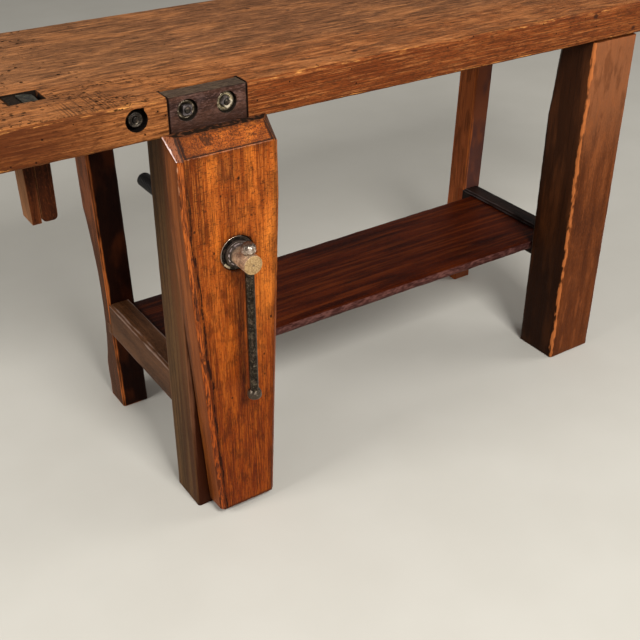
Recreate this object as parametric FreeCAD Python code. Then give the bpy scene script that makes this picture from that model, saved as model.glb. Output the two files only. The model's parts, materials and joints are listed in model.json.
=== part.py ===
import FreeCAD
import Part
import os

os.makedirs("parts", exist_ok=True)
Vector = FreeCAD.Vector

# An old joiner's bench: a thick top on four legs, two low end rails with a plank shelf between
# them, and a leg vise on the front left leg. X runs along the bench to the right, Y to the back
# and Z up. The origin is on the floor, under the centre of the bench and its vise screw.

# The top
bench_height = 800.0
slab_length = 1800.0
slab_width = 480.0
slab_thickness = 64.0
slab_arris = 4.0
left_overhang = 385.0

# Front legs, measured from the left face of the front left leg
front_left_leg_width = 140.0
front_left_leg_depth = 88.0
front_right_leg_place = 916.0
front_right_leg_width = 121.0
front_right_leg_depth = 106.0
leg_arris = 4.0

# Back legs, placed at the floor, with the lean of each one up to the top
rear_left_leg_place = 12.0
rear_left_leg_width = 58.0
rear_left_leg_depth = 67.0
rear_left_leg_setback = 371.0
rear_left_leg_lean = 24.0
rear_right_leg_place = 973.0
rear_right_leg_width = 52.0
rear_right_leg_depth = 63.0
rear_right_leg_setback = 411.5
rear_right_leg_lean = 6.0
rear_leg_splay = 20.0

# Natural edge hollows: one on the rear left leg, one on the front right leg
rear_hollow_low = 70.0
rear_hollow_high = 470.0
rear_hollow_depth = 24.0
front_hollow_low = 520.0
front_hollow_depth = 24.0

# Tenons on the tops of the legs and on the ends of the rails
leg_tenon_height = 26.0
leg_tenon_shoulder = 16.0
front_tenon_setback = 42.0
front_tenon_thickness = 32.0
rear_tenon_thickness = 30.0
rail_tenon_thickness = 20.0
rail_tenon_shoulder = 12.0
front_rail_tenon_length = 40.0
rear_rail_tenon_length = 24.0
tenon_clearance = 0.2

# End rails and the shelf housed between them
rail_height = 74.0
rail_thickness = 44.0
rail_underside = 190.0
rail_outer_arris = 5.0
rail_inner_arris = 2.5
left_rail_place = 5.0
right_rail_place = 974.0
shelf_thickness = 26.0
shelf_drop = 8.0
shelf_setback = 112.0
shelf_left_width = 250.0
shelf_right_width = 268.0
shelf_housing = 12.0
shelf_wane = 7.0
shelf_wane_bulge_share = 0.35

# Dark hardwood block let into the front edge over the left leg
jaw_block_place = 5.5
jaw_block_width = 133.0
jaw_block_depth = 34.0
jaw_block_drop = 1.5

# Tie bolts through the width of the top: heads at the back, nuts at the front
bolt_diameter = 10.0
bolt_clearance = 0.5
bolt_drop = 26.5
block_bolt_places = [36.0, 103.5]
outer_bolt_place = -47.0
counterbore_diameter = 34.0
block_counterbore_depth = 9.0
outer_counterbore_depth = 15.0
outer_notch_width = 12.0
outer_notch_height = 16.5
washer_diameter = 31.0
washer_thickness = 2.5
square_nut_width = 15.0
square_nut_thickness = 6.5
bolt_head_width = 22.0
bolt_head_thickness = 8.0
round_nut_diameter = 23.0
round_nut_thickness = 10.0
bolt_stub = 1.5
left_nut_turn = 4.0
right_nut_turn = 40.0

# Planing stop and its wedge, side by side in one mortise
stop_mortise_place = -202.0
stop_mortise_length = 55.0
stop_mortise_width = 46.0
stop_mortise_setback = 97.0
stop_width = 26.0
stop_height = 193.0
stop_recess = 3.0
stop_rounding = 8.0
stop_play = 0.3
wedge_side_play = 1.2
wedge_width = 20.5
wedge_taper = 4.5
wedge_height = 194.0
stop_plate_thickness = 3.0
stop_plate_margin = 1.5
stop_plate_corner = 9.0
plate_screw_head = 8.0
plate_screw_head_thickness = 2.0
plate_screw_shank = 4.0
plate_screw_length = 22.0

# Chop, the moving jaw of the leg vise
chop_top_place = -8.5
chop_top_width = 175.0
chop_foot_place = 24.0
chop_foot_width = 114.5
chop_thickness = 46.0
chop_drop = 55.0
chop_taper_drop = 125.0
chop_foot_gap = 15.0
chop_top_flare = 5.0
chop_foot_flare = 1.5
chop_arris = 7.0
chop_bevel_depth = 27.0
chop_bevel_height = 27.0
chop_end_bevel_drop = 33.0
chop_end_bevel_share = Vector(1.0, -0.70, 0.76)
jaw_gap = 4.0

# Vise screw
screw_place = 83.0
screw_drop = 261.0
screw_diameter = 28.0
screw_tail = 312.0
screw_tail_chamfer = 2.5
screw_hole_play = 1.0
head_diameter = 33.0
head_length = 46.0
head_chamfer = 1.5
vise_reach = 100.0
flange_diameter = 47.0
flange_play = 0.4
collar_diameter = 62.0
collar_thickness = 5.0
collar_recess = 8.0
collar_play = 0.5
neck_diameter = 20.0
neck_width = 8.0
neck_setback = 22.0
garter_thickness = 7.4
garter_height = 40.0
garter_reach = 12.0
garter_play = 0.3

# Iron nut in the back of the leg
nut_boss_diameter = 50.0
nut_boss_depth = 34.0
nut_plate_width = 112.0
nut_plate_height = 60.0
nut_plate_thickness = 8.0
nut_plate_corner = 18.0
nut_bore_play = 0.05
nut_screw_spacing = 84.0
nut_screw_head = 11.0
nut_screw_shank = 6.0
nut_screw_head_thickness = 4.5
nut_screw_length = 34.0

# Tommy bar
bar_diameter = 16.0
bar_play = 0.3
bar_setback = 15.0
bar_length = 264.0
bar_knob_diameter = 25.0
bar_knob_height = 17.0
knob_seat = 0.3
knob_rounding = 4.0

# Parallel guide at the foot of the chop, its pin and its peg
guide_width = 28.0
guide_height = 60.0
guide_height_off_floor = 80.0
guide_length = 252.0
guide_tenon = 34.0
guide_play = 0.4
guide_end_chamfer = 6.0
guide_hole_pitch = 26.0
guide_hole_count = 3
pin_diameter = 10.0
pin_play = 0.08
pin_setback = 24.0
pin_overhang = 12.0
pin_head_width = 14.0
pin_head_length = 14.0
guide_peg_diameter = 10.0
guide_peg_play = 0.05

# How far a cutting shape runs past the wood that it cuts
overrun = 30.0

# Places worked out from the sizes above
front_y = (vise_reach - slab_width) / 2
back_y = front_y + slab_width
datum_x = left_overhang - slab_length / 2
slab_bottom = bench_height - slab_thickness
screw_x = datum_x + screw_place
screw_height = bench_height - screw_drop
chop_height = bench_height - chop_drop
chop_taper_height = chop_height - chop_taper_drop
chop_back = front_y - jaw_gap
chop_front = chop_back - chop_thickness
collar_face = chop_front + collar_recess - collar_thickness
bar_y = front_y - vise_reach + bar_setback
bolt_z = bench_height - bolt_drop
shelf_top = rail_underside + rail_height - shelf_drop
shelf_bottom = shelf_top - shelf_thickness


def block(x0, x1, y0, y1, z0, z1):
    return Part.makeBox(x1 - x0, y1 - y0, z1 - z0, Vector(x0, y0, z0))


def rod_along_y(x, z, diameter, y0, y1):
    return Part.makeCylinder(diameter / 2, y1 - y0, Vector(x, y0, z), Vector(0, 1, 0))


def rod_along_x(y, z, diameter, x0, x1):
    return Part.makeCylinder(diameter / 2, x1 - x0, Vector(x0, y, z), Vector(1, 0, 0))


def face_of(points):
    return Part.Face(Part.makePolygon(points + [points[0]]))


def lathe(profile, origin, axis):
    """Turns an outline of (radius, length along the axis) points about the axis."""
    points = [Vector(radius, 0, length) for radius, length in profile]
    solid = face_of(points).revolve(Vector(0, 0, 0), Vector(0, 0, 1), 360)
    solid.Placement = FreeCAD.Placement(origin, FreeCAD.Rotation(Vector(0, 0, 1), axis))
    return solid


def cut_above(solid, point, normal):
    """Takes away the part of a solid that lies past a plane."""
    size = solid.BoundBox.DiagonalLength + overrun
    waste = Part.makeBox(2 * size, 2 * size, size, Vector(-size, -size, 0))
    waste.Placement = FreeCAD.Placement(point, FreeCAD.Rotation(Vector(0, 0, 1), normal))
    return solid.cut(waste)


def eased_rectangle(x0, x1, y0, y1, z, ease):
    """A level rectangle whose four corners are cut off by the same small amount."""
    corners = [
        (x0 + ease, y0), (x1 - ease, y0), (x1, y0 + ease), (x1, y1 - ease),
        (x1 - ease, y1), (x0 + ease, y1), (x0, y1 - ease), (x0, y0 + ease),
    ]
    return face_of([Vector(x, y, z) for x, y in corners])


def group(solids):
    return Part.makeCompound(solids)


def save(name, shape):
    shape.exportStep("parts/" + name + ".step")
    print(name, len(shape.Solids), "solids, volume", round(shape.Volume))


# Leg blanks, before any joint is cut
def front_left_blank():
    outline = eased_rectangle(
        datum_x, datum_x + front_left_leg_width,
        front_y, front_y + front_left_leg_depth, 0, leg_arris)
    return outline.extrude(Vector(0, 0, slab_bottom))


def front_right_blank():
    left = datum_x + front_right_leg_place
    back = front_y + front_right_leg_depth
    outline = eased_rectangle(left, left + front_right_leg_width, front_y, back, 0, leg_arris)
    leg = outline.extrude(Vector(0, 0, slab_bottom))
    rise = slab_bottom - front_hollow_low
    return cut_above(leg, Vector(left, back, front_hollow_low), Vector(-rise, rise, front_hollow_depth))


def rear_left_blank():
    left = datum_x + rear_left_leg_place
    front = front_y + rear_left_leg_setback
    back = front + rear_left_leg_depth
    outline = eased_rectangle(left, left + rear_left_leg_width, front, back, 0, leg_arris)
    leg = outline.extrude(Vector(-rear_left_leg_lean, -rear_leg_splay, slab_bottom))
    half_chord = (rear_hollow_high - rear_hollow_low) / 2
    middle = (rear_hollow_high + rear_hollow_low) / 2
    rise_share = middle / slab_bottom
    radius = (half_chord ** 2 + rear_hollow_depth ** 2) / (2 * rear_hollow_depth)
    outward = Vector(-1, 1, 0).normalize()
    along = Vector(1, 1, 0).normalize()
    corner = Vector(left - rise_share * rear_left_leg_lean, back - rise_share * rear_leg_splay, middle)
    start = corner + outward * (radius - rear_hollow_depth) - along * rear_left_leg_depth
    return leg.cut(Part.makeCylinder(radius, 2 * rear_left_leg_depth, start, along))


def rear_right_blank():
    left = datum_x + rear_right_leg_place
    front = front_y + rear_right_leg_setback
    outline = eased_rectangle(
        left, left + rear_right_leg_width, front, front + rear_right_leg_depth, 0, leg_arris)
    return outline.extrude(Vector(rear_right_leg_lean, -rear_leg_splay, slab_bottom))


# Tenons on the leg tops: each is a box, and its mortise is the same box with the clearance
def front_tenon(place, width, play):
    left = datum_x + place + leg_tenon_shoulder
    right = datum_x + place + width - leg_tenon_shoulder
    front = front_y + front_tenon_setback
    return block(
        left - play, right + play, front - play, front + front_tenon_thickness + play,
        slab_bottom, slab_bottom + leg_tenon_height + play)


def rear_tenon(place, width, setback, depth, play):
    middle_x = datum_x + place + width / 2
    middle_y = front_y + setback - rear_leg_splay + depth / 2
    half_x = (width - leg_tenon_shoulder) / 2 + play
    half_y = rear_tenon_thickness / 2 + play
    return block(
        middle_x - half_x, middle_x + half_x, middle_y - half_y, middle_y + half_y,
        slab_bottom, slab_bottom + leg_tenon_height + play)


def leg_tenons(play):
    """Four stub tenons, in the order front left, front right, rear left, rear right."""
    return [
        front_tenon(0, front_left_leg_width, play),
        front_tenon(front_right_leg_place, front_right_leg_width, play),
        rear_tenon(
            rear_left_leg_place - rear_left_leg_lean, rear_left_leg_width,
            rear_left_leg_setback, rear_left_leg_depth, play),
        rear_tenon(
            rear_right_leg_place + rear_right_leg_lean, rear_right_leg_width,
            rear_right_leg_setback, rear_right_leg_depth, play),
    ]


# Tie bolts and what is on them
def bolt_x_places():
    return [datum_x + place for place in block_bolt_places + [outer_bolt_place]]


def counterbore_depths():
    return [block_counterbore_depth, block_counterbore_depth, outer_counterbore_depth]


def bolt_bores():
    """Holes for the three tie bolts, with a counterbore at each end."""
    cuts = []
    bore = bolt_diameter + 2 * bolt_clearance
    wide = counterbore_diameter
    for x, depth in zip(bolt_x_places(), counterbore_depths()):
        cuts.append(rod_along_y(x, bolt_z, bore, front_y - overrun, back_y + overrun))
        cuts.append(rod_along_y(x, bolt_z, wide, front_y - overrun, front_y + depth))
        cuts.append(rod_along_y(x, bolt_z, wide, back_y - depth, back_y + overrun))
    return cuts


def outer_notch():
    """The chisel notch at the upper right of the outer counterbore."""
    x = datum_x + outer_bolt_place
    return block(
        x, x + outer_notch_width, front_y - overrun, front_y + outer_counterbore_depth,
        bolt_z, bolt_z + outer_notch_height)


def make_tie_bolts():
    """Long bolts whose square heads bear on the wood at the back edge."""
    half = bolt_head_width / 2
    bolts = []
    for x, depth, face in zip(bolt_x_places(), counterbore_depths(), nut_faces()):
        front = face - bolt_stub
        seat = back_y - depth
        head = block(x - half, x + half, seat, seat + bolt_head_thickness, bolt_z - half, bolt_z + half)
        bolts.append(head.fuse(rod_along_y(x, bolt_z, bolt_diameter, front, seat)))
    return group(bolts)


def washer_seat():
    return front_y + block_counterbore_depth - washer_thickness


def nut_faces():
    """Front faces of the nuts: the square ones stand on washers, the round one on the wood."""
    square_face = washer_seat() - square_nut_thickness
    return [square_face, square_face, front_y + outer_counterbore_depth - round_nut_thickness]


def washer(x, y):
    ring = rod_along_y(x, bolt_z, washer_diameter, y, y + washer_thickness)
    bore = bolt_diameter + 2 * bolt_clearance
    return ring.cut(rod_along_y(x, bolt_z, bore, y - overrun, y + overrun))


def make_bolt_washers():
    return group([washer(x, washer_seat()) for x in bolt_x_places()[:2]])


def square_nut(x, y, turn):
    half = square_nut_width / 2
    nut = block(-half, half, 0, square_nut_thickness, -half, half)
    nut.rotate(Vector(0, 0, 0), Vector(0, 1, 0), turn)
    nut.translate(Vector(x, y, bolt_z))
    return nut.cut(rod_along_y(x, bolt_z, bolt_diameter, y - overrun, y + overrun))


def make_square_nuts():
    """Two nuts in the jaw block, one nearly square to the top and one turned."""
    turns = [left_nut_turn, right_nut_turn]
    return group([
        square_nut(x, face, turn)
        for x, face, turn in zip(bolt_x_places(), nut_faces(), turns)])


def make_round_nut():
    """The nut of the outer bolt, which bears on the wood without a washer."""
    x = datum_x + outer_bolt_place
    face = nut_faces()[-1]
    seat = face + round_nut_thickness
    nut = rod_along_y(x, bolt_z, round_nut_diameter, face, seat)
    return nut.cut(rod_along_y(x, bolt_z, bolt_diameter, face - overrun, seat + overrun))


# The top and the block in its edge
def jaw_block_shape():
    left = datum_x + jaw_block_place
    return block(
        left, left + jaw_block_width, front_y, front_y + jaw_block_depth,
        slab_bottom, bench_height - jaw_block_drop)


def make_jaw_block():
    body = jaw_block_shape()
    for cutter in bolt_bores():
        body = body.cut(cutter)
    return body


def stop_mortise():
    left = datum_x + stop_mortise_place
    front = front_y + stop_mortise_setback
    return block(
        left, left + stop_mortise_length, front, front + stop_mortise_width,
        slab_bottom - overrun, bench_height + overrun)


def make_top_slab():
    half = slab_length / 2
    section = [
        (front_y + slab_arris, slab_bottom), (back_y - slab_arris, slab_bottom),
        (back_y, slab_bottom + slab_arris), (back_y, bench_height - slab_arris),
        (back_y - slab_arris, bench_height), (front_y + slab_arris, bench_height),
        (front_y, bench_height - slab_arris), (front_y, slab_bottom + slab_arris),
    ]
    body = face_of([Vector(-half, y, z) for y, z in section]).extrude(Vector(slab_length, 0, 0))
    left = datum_x + jaw_block_place
    body = body.cut(block(
        left, left + jaw_block_width, front_y - overrun, front_y + jaw_block_depth,
        slab_bottom - overrun, bench_height + overrun))
    for cutter in bolt_bores() + [outer_notch(), stop_mortise()] + leg_tenons(tenon_clearance):
        body = body.cut(cutter)
    return body


# Planing stop
def stop_front():
    return front_y + stop_mortise_setback + stop_play


def stop_back():
    return front_y + stop_mortise_setback + stop_mortise_width - stop_play


def wedge_left():
    return datum_x + stop_mortise_place + wedge_side_play


def make_stop_wedge():
    """A strip that narrows downwards and fills the mortise beside the stop."""
    left = wedge_left()
    right = left + wedge_width
    top = bench_height - stop_recess
    bottom = top - wedge_height
    outline = [
        Vector(left, stop_front(), top), Vector(left + wedge_taper, stop_front(), bottom),
        Vector(right, stop_front(), bottom), Vector(right, stop_front(), top)]
    return face_of(outline).extrude(Vector(0, stop_back() - stop_front(), 0))


def stop_left():
    return wedge_left() + wedge_width + stop_play


def make_planing_stop():
    left = stop_left()
    right = left + stop_width
    top = bench_height - stop_recess - stop_plate_thickness
    bottom = bench_height - stop_recess - stop_height
    body = block(left, right, stop_front(), stop_back(), bottom, top)
    foot_edges = [
        edge for edge in body.Edges
        if abs(edge.CenterOfMass.z - bottom) < stop_play
        and abs(edge.Vertexes[0].Point.x - edge.Vertexes[1].Point.x) < stop_play]
    return body.makeFillet(stop_rounding, foot_edges).cut(plate_screw_shape())


def make_stop_plate():
    """The iron face on the stop, with one corner cut away and a hole sunk for the screw."""
    left = stop_left() + stop_plate_margin
    right = stop_left() + stop_width - stop_plate_margin
    front = stop_front() + stop_plate_margin
    back = stop_back() - stop_plate_margin
    top = bench_height - stop_recess
    outline = [
        (left, front), (right, front), (right, back - stop_plate_corner),
        (right - stop_plate_corner, back), (left, back)]
    plate = face_of([Vector(x, y, top) for x, y in outline])
    plate = plate.extrude(Vector(0, 0, -stop_plate_thickness))
    return plate.cut(plate_screw_shape())


def plate_screw_shape():
    """A screw with a round head sunk flush in the plate, and its shank in the wood below."""
    middle = Vector(
        stop_left() + stop_width / 2, (stop_front() + stop_back()) / 2, bench_height - stop_recess)
    head = plate_screw_head / 2
    shank = plate_screw_shank / 2
    neck = -plate_screw_head_thickness
    profile = [
        (0, 0), (head, 0), (head, neck), (shank, neck), (shank, -plate_screw_length),
        (0, -plate_screw_length)]
    return lathe(profile, middle, Vector(0, 0, 1))


# End rails and shelf
def shelf_shape():
    """A plank with a natural front edge, wider at the right end than at the left."""
    left = datum_x + left_rail_place + rail_thickness - shelf_housing
    right = datum_x + right_rail_place + shelf_housing
    front = front_y + shelf_setback

    def end_face(x, width):
        back = front + width
        outline = [
            (front, shelf_top), (back, shelf_top), (back, shelf_bottom),
            (front + shelf_wane, shelf_bottom),
            (front + shelf_wane_bulge_share * shelf_wane, shelf_bottom + shelf_wane)]
        return Part.makePolygon([Vector(x, y, z) for y, z in outline + outline[:1]])

    return Part.makeLoft([end_face(left, shelf_left_width), end_face(right, shelf_right_width)], True, True)


def rail_section(left):
    """Rail outline across its length, with both top arrises worn off."""
    right = left + rail_thickness
    top = rail_underside + rail_height
    return [
        (left, rail_underside), (right, rail_underside), (right, top - rail_inner_arris),
        (right - rail_inner_arris, top), (left + rail_outer_arris, top),
        (left, top - rail_outer_arris)]


def rail_tenon(left, shoulder_y, length, play):
    """The tenon on one end of a rail: a positive length points to the back."""
    middle = left + rail_thickness / 2
    half = rail_tenon_thickness / 2 + play
    low = rail_underside + rail_tenon_shoulder - play
    high = rail_underside + rail_height - rail_tenon_shoulder + play
    y0 = min(shoulder_y, shoulder_y + length)
    y1 = max(shoulder_y, shoulder_y + length)
    return block(middle - half, middle + half, y0, y1, low, high)


def left_rail_tenons(play):
    left = datum_x + left_rail_place
    front = rail_tenon(left, front_y + front_left_leg_depth, -front_rail_tenon_length - play, play)
    back = rail_tenon(left, left_rail_back(), rear_rail_tenon_length + play, play)
    return front, back


def right_rail_tenons(play):
    left = datum_x + right_rail_place
    front = rail_tenon(left, front_y + front_right_leg_depth, -front_rail_tenon_length - play, play)
    back = rail_tenon(left, right_rail_back(), rear_rail_tenon_length + play, play)
    return front, back


def splay_at_rail():
    return rear_leg_splay * (rail_underside + rail_height / 2) / slab_bottom


def left_rail_back():
    return front_y + rear_left_leg_setback - splay_at_rail()


def right_rail_back():
    return front_y + rear_right_leg_setback - splay_at_rail()


def make_rail(left, front, back, tenons, rear_blank):
    """The rail runs on into the leaning back leg, is cut to fit it, and then gets its tenons."""
    outline = face_of([Vector(x, front, z) for x, z in rail_section(left)])
    body = outline.extrude(Vector(0, back - front + rear_leg_splay, 0))
    body = body.cut(rear_blank).cut(shelf_shape())
    for tenon in tenons:
        body = body.fuse(tenon)
    return body.removeSplitter()


def make_left_rail():
    return make_rail(
        datum_x + left_rail_place, front_y + front_left_leg_depth, left_rail_back(),
        left_rail_tenons(0), rear_left_blank())


def make_right_rail():
    return make_rail(
        datum_x + right_rail_place, front_y + front_right_leg_depth, right_rail_back(),
        right_rail_tenons(0), rear_right_blank())


# Legs with their joints
def vise_bore():
    return rod_along_y(
        screw_x, screw_height, screw_diameter + 2 * screw_hole_play,
        chop_front - overrun, front_y + front_left_leg_depth + overrun)


def nut_recess():
    back = front_y + front_left_leg_depth
    return rod_along_y(
        screw_x, screw_height, nut_boss_diameter + 2 * tenon_clearance,
        back - nut_boss_depth - tenon_clearance, back + overrun)


def guide_shape(play):
    back = chop_back - guide_tenon + guide_length
    half = guide_width / 2 + play
    return block(
        screw_x - half, screw_x + half, chop_back - guide_tenon, back,
        guide_height_off_floor - play, guide_height_off_floor + guide_height + play)


def make_front_left_leg():
    body = front_left_blank().fuse(leg_tenons(0)[0]).removeSplitter()
    front_rail_tenon = left_rail_tenons(tenon_clearance)[0]
    cutters = [vise_bore(), nut_recess(), guide_shape(guide_play), front_rail_tenon]
    for cutter in cutters + nut_screw_shapes():
        body = body.cut(cutter)
    return body


def make_front_right_leg():
    body = front_right_blank().fuse(leg_tenons(0)[1]).removeSplitter()
    return body.cut(right_rail_tenons(tenon_clearance)[0])


def make_rear_left_leg():
    body = rear_left_blank().fuse(leg_tenons(0)[2]).removeSplitter()
    return body.cut(left_rail_tenons(tenon_clearance)[1])


def make_rear_right_leg():
    body = rear_right_blank().fuse(leg_tenons(0)[3]).removeSplitter()
    return body.cut(right_rail_tenons(tenon_clearance)[1])


# Chop and guide
def chop_outline(y, flare_at_top, flare_at_foot):
    """Outline of the chop across its width: full width above, tapering to a narrow foot."""
    foot_left = datum_x + chop_foot_place - flare_at_foot
    foot_right = foot_left + chop_foot_width + 2 * flare_at_foot
    top_left = datum_x + chop_top_place - flare_at_top
    top_right = top_left + chop_top_width + 2 * flare_at_top
    corners = [
        (foot_left, chop_foot_gap), (foot_right, chop_foot_gap), (top_right, chop_taper_height),
        (top_right, chop_height), (top_left, chop_height), (top_left, chop_taper_height)]
    points = [Vector(x, y, z) for x, z in corners]
    return Part.makePolygon(points + points[:1])


def chop_blank():
    """Flat top with a front bevel and an end bevel at each side, and eased front arrises."""
    outlines = [
        chop_outline(chop_front, 0, 0), chop_outline(chop_back, chop_top_flare, chop_foot_flare)]
    body = Part.makeLoft(outlines, True, True)
    body = cut_above(
        body, Vector(0, chop_front, chop_height - chop_bevel_height),
        Vector(0, -chop_bevel_height, chop_bevel_depth))
    top_left = datum_x + chop_top_place
    foot_left = datum_x + chop_foot_place
    sides = [
        (-1, top_left, foot_left),
        (1, top_left + chop_top_width, foot_left + chop_foot_width)]
    for side, top_x, foot_x in sides:
        body = cut_above(
            body, Vector(top_x, chop_front + chop_arris, chop_height - chop_end_bevel_drop),
            Vector(side * chop_end_bevel_share.x, chop_end_bevel_share.y, chop_end_bevel_share.z))
        body = cut_above(
            body, Vector(top_x - side * chop_arris, chop_front, 0), Vector(side, -1, 0))
        slope = side * (top_x - foot_x) / (chop_taper_height - chop_foot_gap)
        body = cut_above(
            body, Vector(foot_x - side * chop_arris, chop_front, chop_foot_gap),
            Vector(side, -1, -slope))
    return body


def chop_right_at(z):
    """Place of the chop's right side, at its front, at a height within the taper."""
    foot_right = datum_x + chop_foot_place + chop_foot_width
    top_right = datum_x + chop_top_place + chop_top_width
    share = (z - chop_foot_gap) / (chop_taper_height - chop_foot_gap)
    return foot_right + share * (top_right - foot_right)


def garter_shape(play, past_side):
    """The flat key that sits in the neck of the screw, driven in from the right."""
    centre_y = chop_front + neck_setback
    half = garter_thickness / 2 + play
    right = chop_right_at(screw_height - garter_height / 2) + past_side
    high = garter_height / 2 + play
    return block(
        screw_x - garter_reach - play, right, centre_y - half, centre_y + half,
        screw_height - high, screw_height + high)


def make_garter_key():
    key = garter_shape(0, 0)
    slot = (neck_diameter + 2 * garter_play) / 2
    centre_y = chop_front + neck_setback
    key = key.cut(rod_along_y(screw_x, screw_height, 2 * slot, centre_y - overrun, centre_y + overrun))
    return key.cut(block(
        screw_x - garter_reach - overrun, screw_x, centre_y - overrun, centre_y + overrun,
        screw_height - slot, screw_height + slot))


def guide_peg_shape(play, past_side):
    """The peg that holds the guide in the chop, driven in from the right."""
    size = guide_peg_diameter + 2 * play
    middle_z = guide_height_off_floor + guide_height / 2
    right = chop_right_at(middle_z - guide_peg_diameter / 2) + past_side
    left = screw_x - guide_width
    return rod_along_x(chop_back - guide_tenon / 2, middle_z, size, left, right)


def make_chop():
    body = chop_blank()
    recess = rod_along_y(
        screw_x, screw_height, collar_diameter + 2 * collar_play,
        chop_front - overrun, chop_front + collar_recess)
    cutters = [
        vise_bore(), recess, garter_shape(garter_play, overrun), guide_shape(0),
        guide_peg_shape(guide_peg_play, overrun)]
    for cutter in cutters:
        body = body.cut(cutter)
    return body


def guide_hole_places():
    """Pin holes along the guide, from the one in use at the back towards the leg."""
    last = chop_back - guide_tenon + guide_length - pin_setback
    return [last - index * guide_hole_pitch for index in range(guide_hole_count)]


def make_guide():
    body = guide_shape(0)
    back = chop_back - guide_tenon + guide_length
    for z, direction in ((guide_height_off_floor, -1), (guide_height_off_floor + guide_height, 1)):
        body = cut_above(
            body, Vector(screw_x, back - guide_end_chamfer, z), Vector(0, 1, direction))
    middle_z = guide_height_off_floor + guide_height / 2
    size = pin_diameter + 2 * pin_play
    for y in guide_hole_places():
        body = body.cut(rod_along_x(y, middle_z, size, screw_x - overrun, screw_x + overrun))
    return body.cut(guide_peg_shape(guide_peg_play, overrun))


def make_guide_peg():
    return guide_peg_shape(0, 0)


def make_guide_pin():
    """Iron pin with a square head, in the last hole, which stops the chop from running out."""
    reach = guide_width / 2 + pin_overhang
    half = pin_head_width / 2
    y = guide_hole_places()[0]
    z = guide_height_off_floor + guide_height / 2
    pin = rod_along_x(y, z, pin_diameter, screw_x - reach, screw_x + reach)
    return pin.fuse(block(
        screw_x + reach, screw_x + reach + pin_head_length, y - half, y + half, z - half, z + half))


# Vise screw, its collar, nut and bar
def make_vise_screw():
    """Head, flange, grooved neck and shank, turned in one piece, with a cross hole for the bar."""
    head = head_diameter / 2
    shank = screw_diameter / 2
    flange = flange_diameter / 2
    neck = neck_diameter / 2
    end = front_y - vise_reach
    head_end = head_length
    flange_end = collar_face - flange_play - end
    neck_start = chop_front + neck_setback - neck_width / 2 - end
    neck_end = neck_start + neck_width
    tail = front_y + screw_tail - end
    profile = [
        (0, 0), (head - head_chamfer, 0), (head, head_chamfer), (head, head_end),
        (flange, head_end), (flange, flange_end),
        (shank, flange_end), (shank, neck_start), (neck, neck_start), (neck, neck_end),
        (shank, neck_end), (shank, tail - screw_tail_chamfer),
        (shank - screw_tail_chamfer, tail), (0, tail)]
    body = lathe(profile, Vector(screw_x, end, screw_height), Vector(0, 1, 0))
    bore = bar_diameter / 2 + bar_play
    return body.cut(Part.makeCylinder(
        bore, head_diameter + 2 * overrun, Vector(screw_x, bar_y, screw_height - head - overrun)))


def make_screw_collar():
    ring = rod_along_y(
        screw_x, screw_height, collar_diameter, collar_face, collar_face + collar_thickness)
    return ring.cut(vise_bore())


def nut_screw_places():
    return [(screw_x + side * nut_screw_spacing / 2, screw_height) for side in (-1, 1)]


def nut_screw_shapes():
    """Coach screws: square heads on the plate's ears, and shanks through them into the leg."""
    face = front_y + front_left_leg_depth + nut_plate_thickness
    half = nut_screw_head / 2
    screws = []
    for x, z in nut_screw_places():
        head = block(x - half, x + half, face, face + nut_screw_head_thickness, z - half, z + half)
        screws.append(head.fuse(
            rod_along_y(x, z, nut_screw_shank, face - nut_screw_length, face)))
    return screws


def make_vise_nut():
    """A round boss let into the leg, on a plate whose two ears are screwed to the leg's back."""
    back = front_y + front_left_leg_depth
    half_x = nut_plate_width / 2
    half_z = nut_plate_height / 2
    cut = nut_plate_corner
    outline = [
        (-half_x + cut, -half_z), (half_x - cut, -half_z), (half_x, -half_z + cut),
        (half_x, half_z - cut), (half_x - cut, half_z), (-half_x + cut, half_z),
        (-half_x, half_z - cut), (-half_x, -half_z + cut)]
    plate = face_of([Vector(screw_x + x, back, screw_height + z) for x, z in outline])
    body = plate.extrude(Vector(0, nut_plate_thickness, 0))
    body = body.fuse(rod_along_y(
        screw_x, screw_height, nut_boss_diameter, back - nut_boss_depth, back))
    body = body.removeSplitter().cut(rod_along_y(
        screw_x, screw_height, screw_diameter + 2 * nut_bore_play, front_y, back + overrun))
    for cutter in nut_screw_shapes():
        body = body.cut(cutter)
    return body


def knob_profile():
    """A low knob with a flat seat at length 0 and a rounded crown, turned about its own axis."""
    radius = bar_knob_diameter / 2
    ease = knob_rounding
    return [
        (0, 0), (radius, 0), (radius, bar_knob_height - ease), (radius - ease, bar_knob_height),
        (0, bar_knob_height)]


def bar_top():
    return screw_height + head_diameter / 2 + knob_seat


def make_tommy_bar():
    """A round bar forged out to a knob at its lower end, and plain where the top knob goes on."""
    low = Vector(screw_x, bar_y, bar_top() - bar_length)
    body = Part.makeCylinder(bar_diameter / 2, bar_length, low)
    return body.fuse(lathe(knob_profile(), low, Vector(0, 0, -1))).removeSplitter()


def make_bar_end_knob():
    return lathe(knob_profile(), Vector(screw_x, bar_y, bar_top()), Vector(0, 0, 1))


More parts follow.
